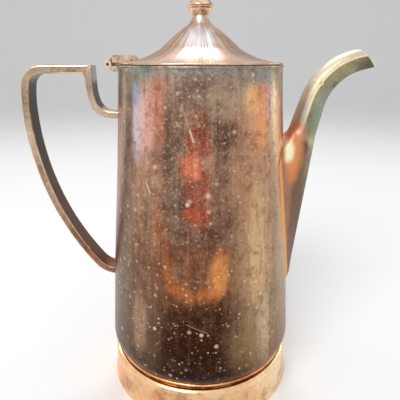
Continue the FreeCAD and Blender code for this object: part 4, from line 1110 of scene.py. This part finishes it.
def lit_edges(piece, width):
    """Round the strap's long edges. The rounded strips take the second material, a paler plate for the worn
    edges and their painted highlights.
    """
    tidy(piece)
    piece.data.materials.clear()
    piece.data.materials.append(HANDLE_PLATE)
    piece.data.materials.append(HANDLE_EDGE_WEAR_AND_SHEEN)
    modifier = piece.modifiers.new("worn_edges", "BEVEL")
    modifier.width = width
    modifier.segments = 3
    modifier.limit_method = "ANGLE"
    modifier.angle_limit = math.radians(50)
    modifier.use_clamp_overlap = False
    modifier.material = 1
    apply_modifiers(piece)
    return tidy(piece)


def handed_over(piece, node):
    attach(piece, BODY)
    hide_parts(node)


def make_handle():
    """The bow leaves the scroll's head at a mitre, and both are soldered to the body."""
    core = make_body_core(0.3 * MM)
    front = -59.5 * MM
    thick = 4.4 * MM
    outer_corner = Vector((front, 0, BOW_TOP))
    inner_corner = Vector((front - 4.7 * MM, 0, BOW_TOP - thick))
    bow = strap("handle_strap", (outer_corner, inner_corner), (inner_corner.x, BOW_TOP - thick / 2),
                180, thick, [(27.4 * MM - 4.7 * MM,), (10 * MM, 80), (80 * MM, 10), (155 * MM, 38),
                             (16 * MM, 40), (4.5 * MM,)])
    lit_edges(bow, 0.7 * MM)
    cut_away(bow, core)
    handed_over(tidy(bow), "handle_bow")
    scroll_thick = 3.8 * MM
    throat = inner_corner.z - 3.5 * MM
    scroll = strap("handle_scroll_strap", (inner_corner, outer_corner),
                   (front - scroll_thick / 2, throat), 270, scroll_thick,
                   [(3.0 * MM,), (30.4 * MM, 17), (9.9 * MM, 70), (8 * MM,)])
    lit_edges(scroll, 0.5 * MM)
    cut_away(scroll, core)
    handed_over(tidy(scroll), "handle_scroll")
    bpy.data.objects.remove(core)


# ---------------------------------------------------------------- spout

def square_to(angle):
    return Vector((math.cos(angle), 0, -math.sin(angle)))


def body_radius(height):
    """The body's radius, straight between the rim, the waist and the belly."""
    points = [(RIM_HEIGHT, RIM_RADIUS), (WAIST[1], WAIST[0]), (BELLY_HEIGHT, BELLY_RADIUS)]
    for (top, upper), (bottom, lower) in zip(points, points[1:]):
        if height >= bottom:
            return lower + (upper - lower) * (height - bottom) / (top - bottom)
    return BELLY_RADIUS


def curve_through(first, second, third, at, start_slope, share):
    """A smooth path through three points, reached at shares 0, at and 1, with a start slope."""
    # Cubic from first: p = first + slope t + b t^2 + c t^3, through second and third.
    one = third - first - start_slope
    two = (second - first - start_slope * at) / (at * at)
    c = (one - two) / (1 - at)
    b = one - c
    return first + start_slope * share + b * share ** 2 + c * share ** 3


def spout_ring(top, keel, flank_in, flank_half, crease_half, crease_share=0.3):
    """Points round one section: over the top to the crease, and under to the keel, both sides."""
    down = (keel - top).normalized()
    depth = (keel - top).length
    crease_at = flank_in + (depth - flank_in) * crease_share
    dent = 0.45 * (crease_share - 0.3) * flank_half
    half = []
    for i in range(13):
        share = i / 12
        along = curve_through(Vector((0, 0)), Vector((flank_in, flank_half)),
                              Vector((crease_at, crease_half)), 0.6,
                              Vector((0, 1.9 * flank_half)), share)
        if share > 0.6:
            along.y -= dent * math.sin(math.pi * (share - 0.6) / 0.4)
        half.append(along)
    middle = Vector((0.5 * (crease_at + depth), 0.6 * crease_half))
    start, end = Vector((crease_at, crease_half)), Vector((depth, 0))
    bend = (middle - (start + end) / 2) * 4
    for i in range(1, 9):
        share = i / 8
        half.append(start + (end - start) * share + bend * share * (1 - share))
    points = [top + down * p.x + Vector((0, p.y, 0)) for p in half]
    points += [top + down * p.x - Vector((0, p.y, 0)) for p in half[-2:0:-1]]
    return points


def spout_sections():
    """The solid's stations, with a crease of its own at the root and two more in the neck."""
    lean = math.radians(14.5)
    sink = 5.0 * MM
    foot_z, crotch_z = 60.0 * MM, 156.4 * MM
    foot = Vector((body_radius(foot_z) + 1.6 * MM, 0, foot_z))
    crotch = Vector((body_radius(crotch_z) + 1.2 * MM, 0, crotch_z))
    neck_keel = crotch + square_to(lean) * 18.2 * MM
    sections = []
    for share in (0.1, 0.18, 0.27, 0.38, 0.5, 0.63, 0.76, 0.89):
        keel = foot + (neck_keel - foot) * share
        half = 23.5 * MM * (1 - (1 - share) ** 3) ** 0.6
        inward = math.sqrt(body_radius(keel.z) ** 2 - half ** 2) - sink
        tilt = lean * share
        top = keel - square_to(tilt) * ((keel.x - inward) / math.cos(tilt))
        sections.append((top, keel, sink, half, 0.36 * half, 0.72))
    inset = Vector((-sink, 0, -3 * sink))
    top, keel, flank_in, half, crease, share = sections[0]
    sections.insert(0, (top + inset, keel + inset, flank_in, 0.4 * half, 0.4 * crease, share))
    half = 13.5 * MM
    sections.append((crotch, neck_keel, 1.82 * MM, half, 0.7 * half, 0.56))
    upward = Vector((math.sin(lean), 0, math.cos(lean)))
    middle = (crotch + neck_keel) / 2
    bend_start = middle + upward * 23.2 * MM
    turn, curve = math.radians(65), 31.5 * MM
    bend_centre = bend_start + square_to(lean) * curve
    places = [(middle + upward * 5.5 * MM, lean, 16.4 * MM, 8.4 * MM),
              (middle + upward * 11.4 * MM, lean, 15.8 * MM, 7.9 * MM),
              (middle + upward * 17.3 * MM, lean, 15.2 * MM, 7.4 * MM)]
    for i in range(9):
        angle = lean + turn * i / 8
        grown = (0.85 * i / 8) ** 1.6
        places.append((bend_centre - square_to(angle) * curve, angle,
                       14.7 * MM * (1 - grown) + 10.4 * MM * grown,
                       7.0 * MM * (1 - grown) + 5.3 * MM * grown))
    ahead = Vector((math.sin(angle), 0, math.cos(angle)))
    places.append((places[-1][0] + ahead * 7.6 * MM, angle, 10.4 * MM, 5.3 * MM))
    for where, angle, depth, half in places:
        down = square_to(angle) * (0.5 * depth)
        sections.append((where - down, where + down, 0.14 * depth, 0.8 * half, half))
    return sections


def smooth_between(rings, steps):
    """More rings between the given ones, each point on a smooth curve along the spout."""
    more = []
    for number in range(len(rings) - 1):
        before = rings[max(number - 1, 0)]
        after = rings[min(number + 2, len(rings) - 1)]
        for step in range(steps):
            t = step / steps
            more.append([
                (2 * b + (c - a) * t + (2 * a - 5 * b + 4 * c - d) * t ** 2
                 + (3 * b - a - 3 * c + d) * t ** 3) / 2
                for a, b, c, d in zip(before, rings[number], rings[number + 1], after)])
    return more + [rings[-1]]


def lay_section_map(spout, count):
    """A map from the top of the section, 0, to its keel, 1, for the spout's colours."""
    section = spout.data.uv_layers.new(name="section")
    last = len(spout.data.vertices) / count
    for loop in spout.data.loops:
        ring_number, corner = divmod(loop.vertex_index, count)
        share = min(corner, count - corner) / (count / 2)
        section.data[loop.index].uv = (share, ring_number / last)


def make_spout():
    """Rings bridged into a skin, given its wall, sawn off at the mouth and fitted to the body."""
    sections = spout_sections()
    outlines = smooth_between([spout_ring(*section) for section in sections], 3)
    rings = []
    for number, points in enumerate(outlines):
        rings.append(draw(f"spout_ring_{number}", points + points[:1]))
        bpy.ops.mesh.remove_doubles(threshold=0.0005 * MM)
        bpy.ops.object.mode_set(mode="OBJECT")
    count = len(points)
    deselect()
    for piece in rings:
        piece.select_set(True)
    spout = rings[0]
    spout.name = "spout"
    bpy.context.view_layer.objects.active = spout
    bpy.ops.object.join()
    for number in range(len(outlines) - 1):
        bpy.ops.object.mode_set(mode="EDIT")
        bpy.ops.mesh.select_mode(type="EDGE")
        bpy.ops.mesh.select_all(action="DESELECT")
        bpy.ops.object.mode_set(mode="OBJECT")
        wanted = range(number * count, (number + 2) * count)
        for edge in spout.data.edges:
            a, b = edge.vertices
            edge.select = a in wanted and b in wanted and a // count == b // count
        bpy.ops.object.mode_set(mode="EDIT")
        bpy.ops.mesh.bridge_edge_loops()
    bpy.ops.mesh.select_mode(type="VERT")
    bpy.ops.object.mode_set(mode="OBJECT")
    lay_section_map(spout, count)
    bpy.ops.object.mode_set(mode="EDIT")
    tip = sections[-1][1]
    keep_open_side(tip, Vector((math.sin(MOUTH_SLANT), 0, math.cos(MOUTH_SLANT))))
    tidy(spout)
    wall = spout.modifiers.new("wall", "SOLIDIFY")
    wall.thickness = 1.0 * MM
    wall.offset = -1
    apply_modifiers(spout)
    core = make_body_core(0.3 * MM)
    cut_away(spout, core, keep_tool=False)
    tidy(spout, 28)
    return finished(spout, BODY, "spout_plate", SPOUT_PLATE, "spout_left_half", "spout_right_half")


def keep_open_side(point, normal):
    bpy.ops.mesh.select_all(action="SELECT")
    bpy.ops.mesh.bisect(plane_co=point, plane_no=normal, use_fill=False, clear_outer=True)


# ---------------------------------------------------------------- carried-over nodes

def dress_nodes():
    """The pieces inside keep their solids and get a finish."""
    dressed = {"body_bottom": INSIDE_PLATE, "foot_edge_wire": BRIGHT_WIRE, "lid_bezel": INSIDE_PLATE,
               "finial_stud": PIN_BRASS, "finial_washer": PIN_BRASS, "finial_nut": PIN_BRASS}
    for node, material in dressed.items():
        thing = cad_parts[node]
        if not thing.material_slots:
            thing.data.materials.append(material)
        for slot in thing.material_slots:
            slot.material = material


# ---------------------------------------------------------------- room

def make_floor():
    """A floor that curves up into a back wall, so that no horizon shows."""
    deselect()
    bpy.ops.mesh.primitive_plane_add(size=6.0, location=(0, -1.5, 0))
    floor = bpy.context.object
    floor.name = "floor"
    bpy.ops.object.transform_apply(location=True, rotation=True, scale=True)
    bpy.ops.object.mode_set(mode="EDIT")
    bpy.ops.mesh.select_mode(type="EDGE")
    bpy.ops.mesh.select_all(action="DESELECT")
    bpy.ops.object.mode_set(mode="OBJECT")
    for edge in floor.data.edges:
        edge.select = all(floor.data.vertices[v].co.y > 0 for v in edge.vertices)
    bpy.ops.object.mode_set(mode="EDIT")
    bpy.ops.mesh.spin(steps=24, angle=math.radians(-90), center=(0, 1.5, 1.0), axis=(1, 0, 0))
    bpy.ops.mesh.extrude_region_move(TRANSFORM_OT_translate={"value": (0, 0, 3.0)})
    bpy.ops.mesh.select_mode(type="VERT")
    bpy.ops.object.mode_set(mode="OBJECT")
    bpy.ops.object.shade_smooth()
    material, tree, shader = new_material("pale_floor", 0.0)
    feed(tree, shader.inputs["Base Color"], tone(0.92, 0.92, 0.92))
    shader.inputs["Roughness"].default_value = 0.7
    floor.data.materials.append(material)


def make_light(name, place_at, aim, size, size_y, power, colour=(1, 1, 1)):
    deselect()
    bpy.ops.object.light_add(type="AREA", location=place_at)
    light = bpy.context.object
    light.name = name
    light.data.shape = "RECTANGLE"
    light.data.size = size
    light.data.size_y = size_y
    light.data.energy = power
    light.data.color = colour
    light.rotation_mode = "QUATERNION"
    light.rotation_quaternion = (Vector(place_at) - Vector(aim)).to_track_quat("Z", "Y")


def make_world():
    world = bpy.data.worlds.new("studio")
    bpy.context.scene.world = world
    world.use_nodes = True
    tree = world.node_tree
    background = tree.nodes["Background"]
    seen = tree.nodes.new("ShaderNodeLightPath")
    shown = sums(tree, "MAXIMUM", seen.outputs["Is Camera Ray"],
                 sums(tree, "MAXIMUM", seen.outputs["Is Glossy Ray"],
                      seen.outputs["Is Transmission Ray"]))
    background.inputs["Color"].default_value = (1, 1, 1, 1)
    feed(tree, background.inputs["Strength"], sums(tree, "MULTIPLY_ADD", shown, 0.25, 0.62))


def make_camera():
    camera = bpy.data.cameras.new("camera")
    camera.lens = 36
    camera.sensor_width = 36
    thing = bpy.data.objects.new("camera", camera)
    bpy.context.scene.collection.objects.link(thing)
    thing.location = (-0.23 * MM, -234.6 * MM, RIM_HEIGHT + 2.8 * MM)
    thing.rotation_euler = (math.radians(90 - 19.354), 0, 0)
    camera.clip_start = 0.01
    bpy.context.scene.camera = thing
    bpy.context.scene.view_settings.view_transform = "Standard"


def main():
    make_camera()
    make_world()
    make_floor()
    make_light("key", (-0.5, -0.9, 1.1), (0, 0, 0.12), 0.7, 0.7, 12)
    make_light("left_strip", (-0.85, 0.45, 0.35), (0, 0, 0.12), 0.10, 0.7, 0.8)
    make_light("right_strip", (0.85, 0.45, 0.35), (0, 0, 0.12), 0.10, 0.7, 0.9)
    make_light("above_behind", (0.0, 0.6, 1.0), (0, 0, 0.2), 0.35, 0.35, 3.5)
    make_body()
    make_mouth_wire()
    make_foot()
    make_foot_bead()
    make_lid()
    make_lid_edge()
    make_finial()
    make_hinge()
    make_handle()
    make_spout()
    dress_nodes()


main()
deselect()
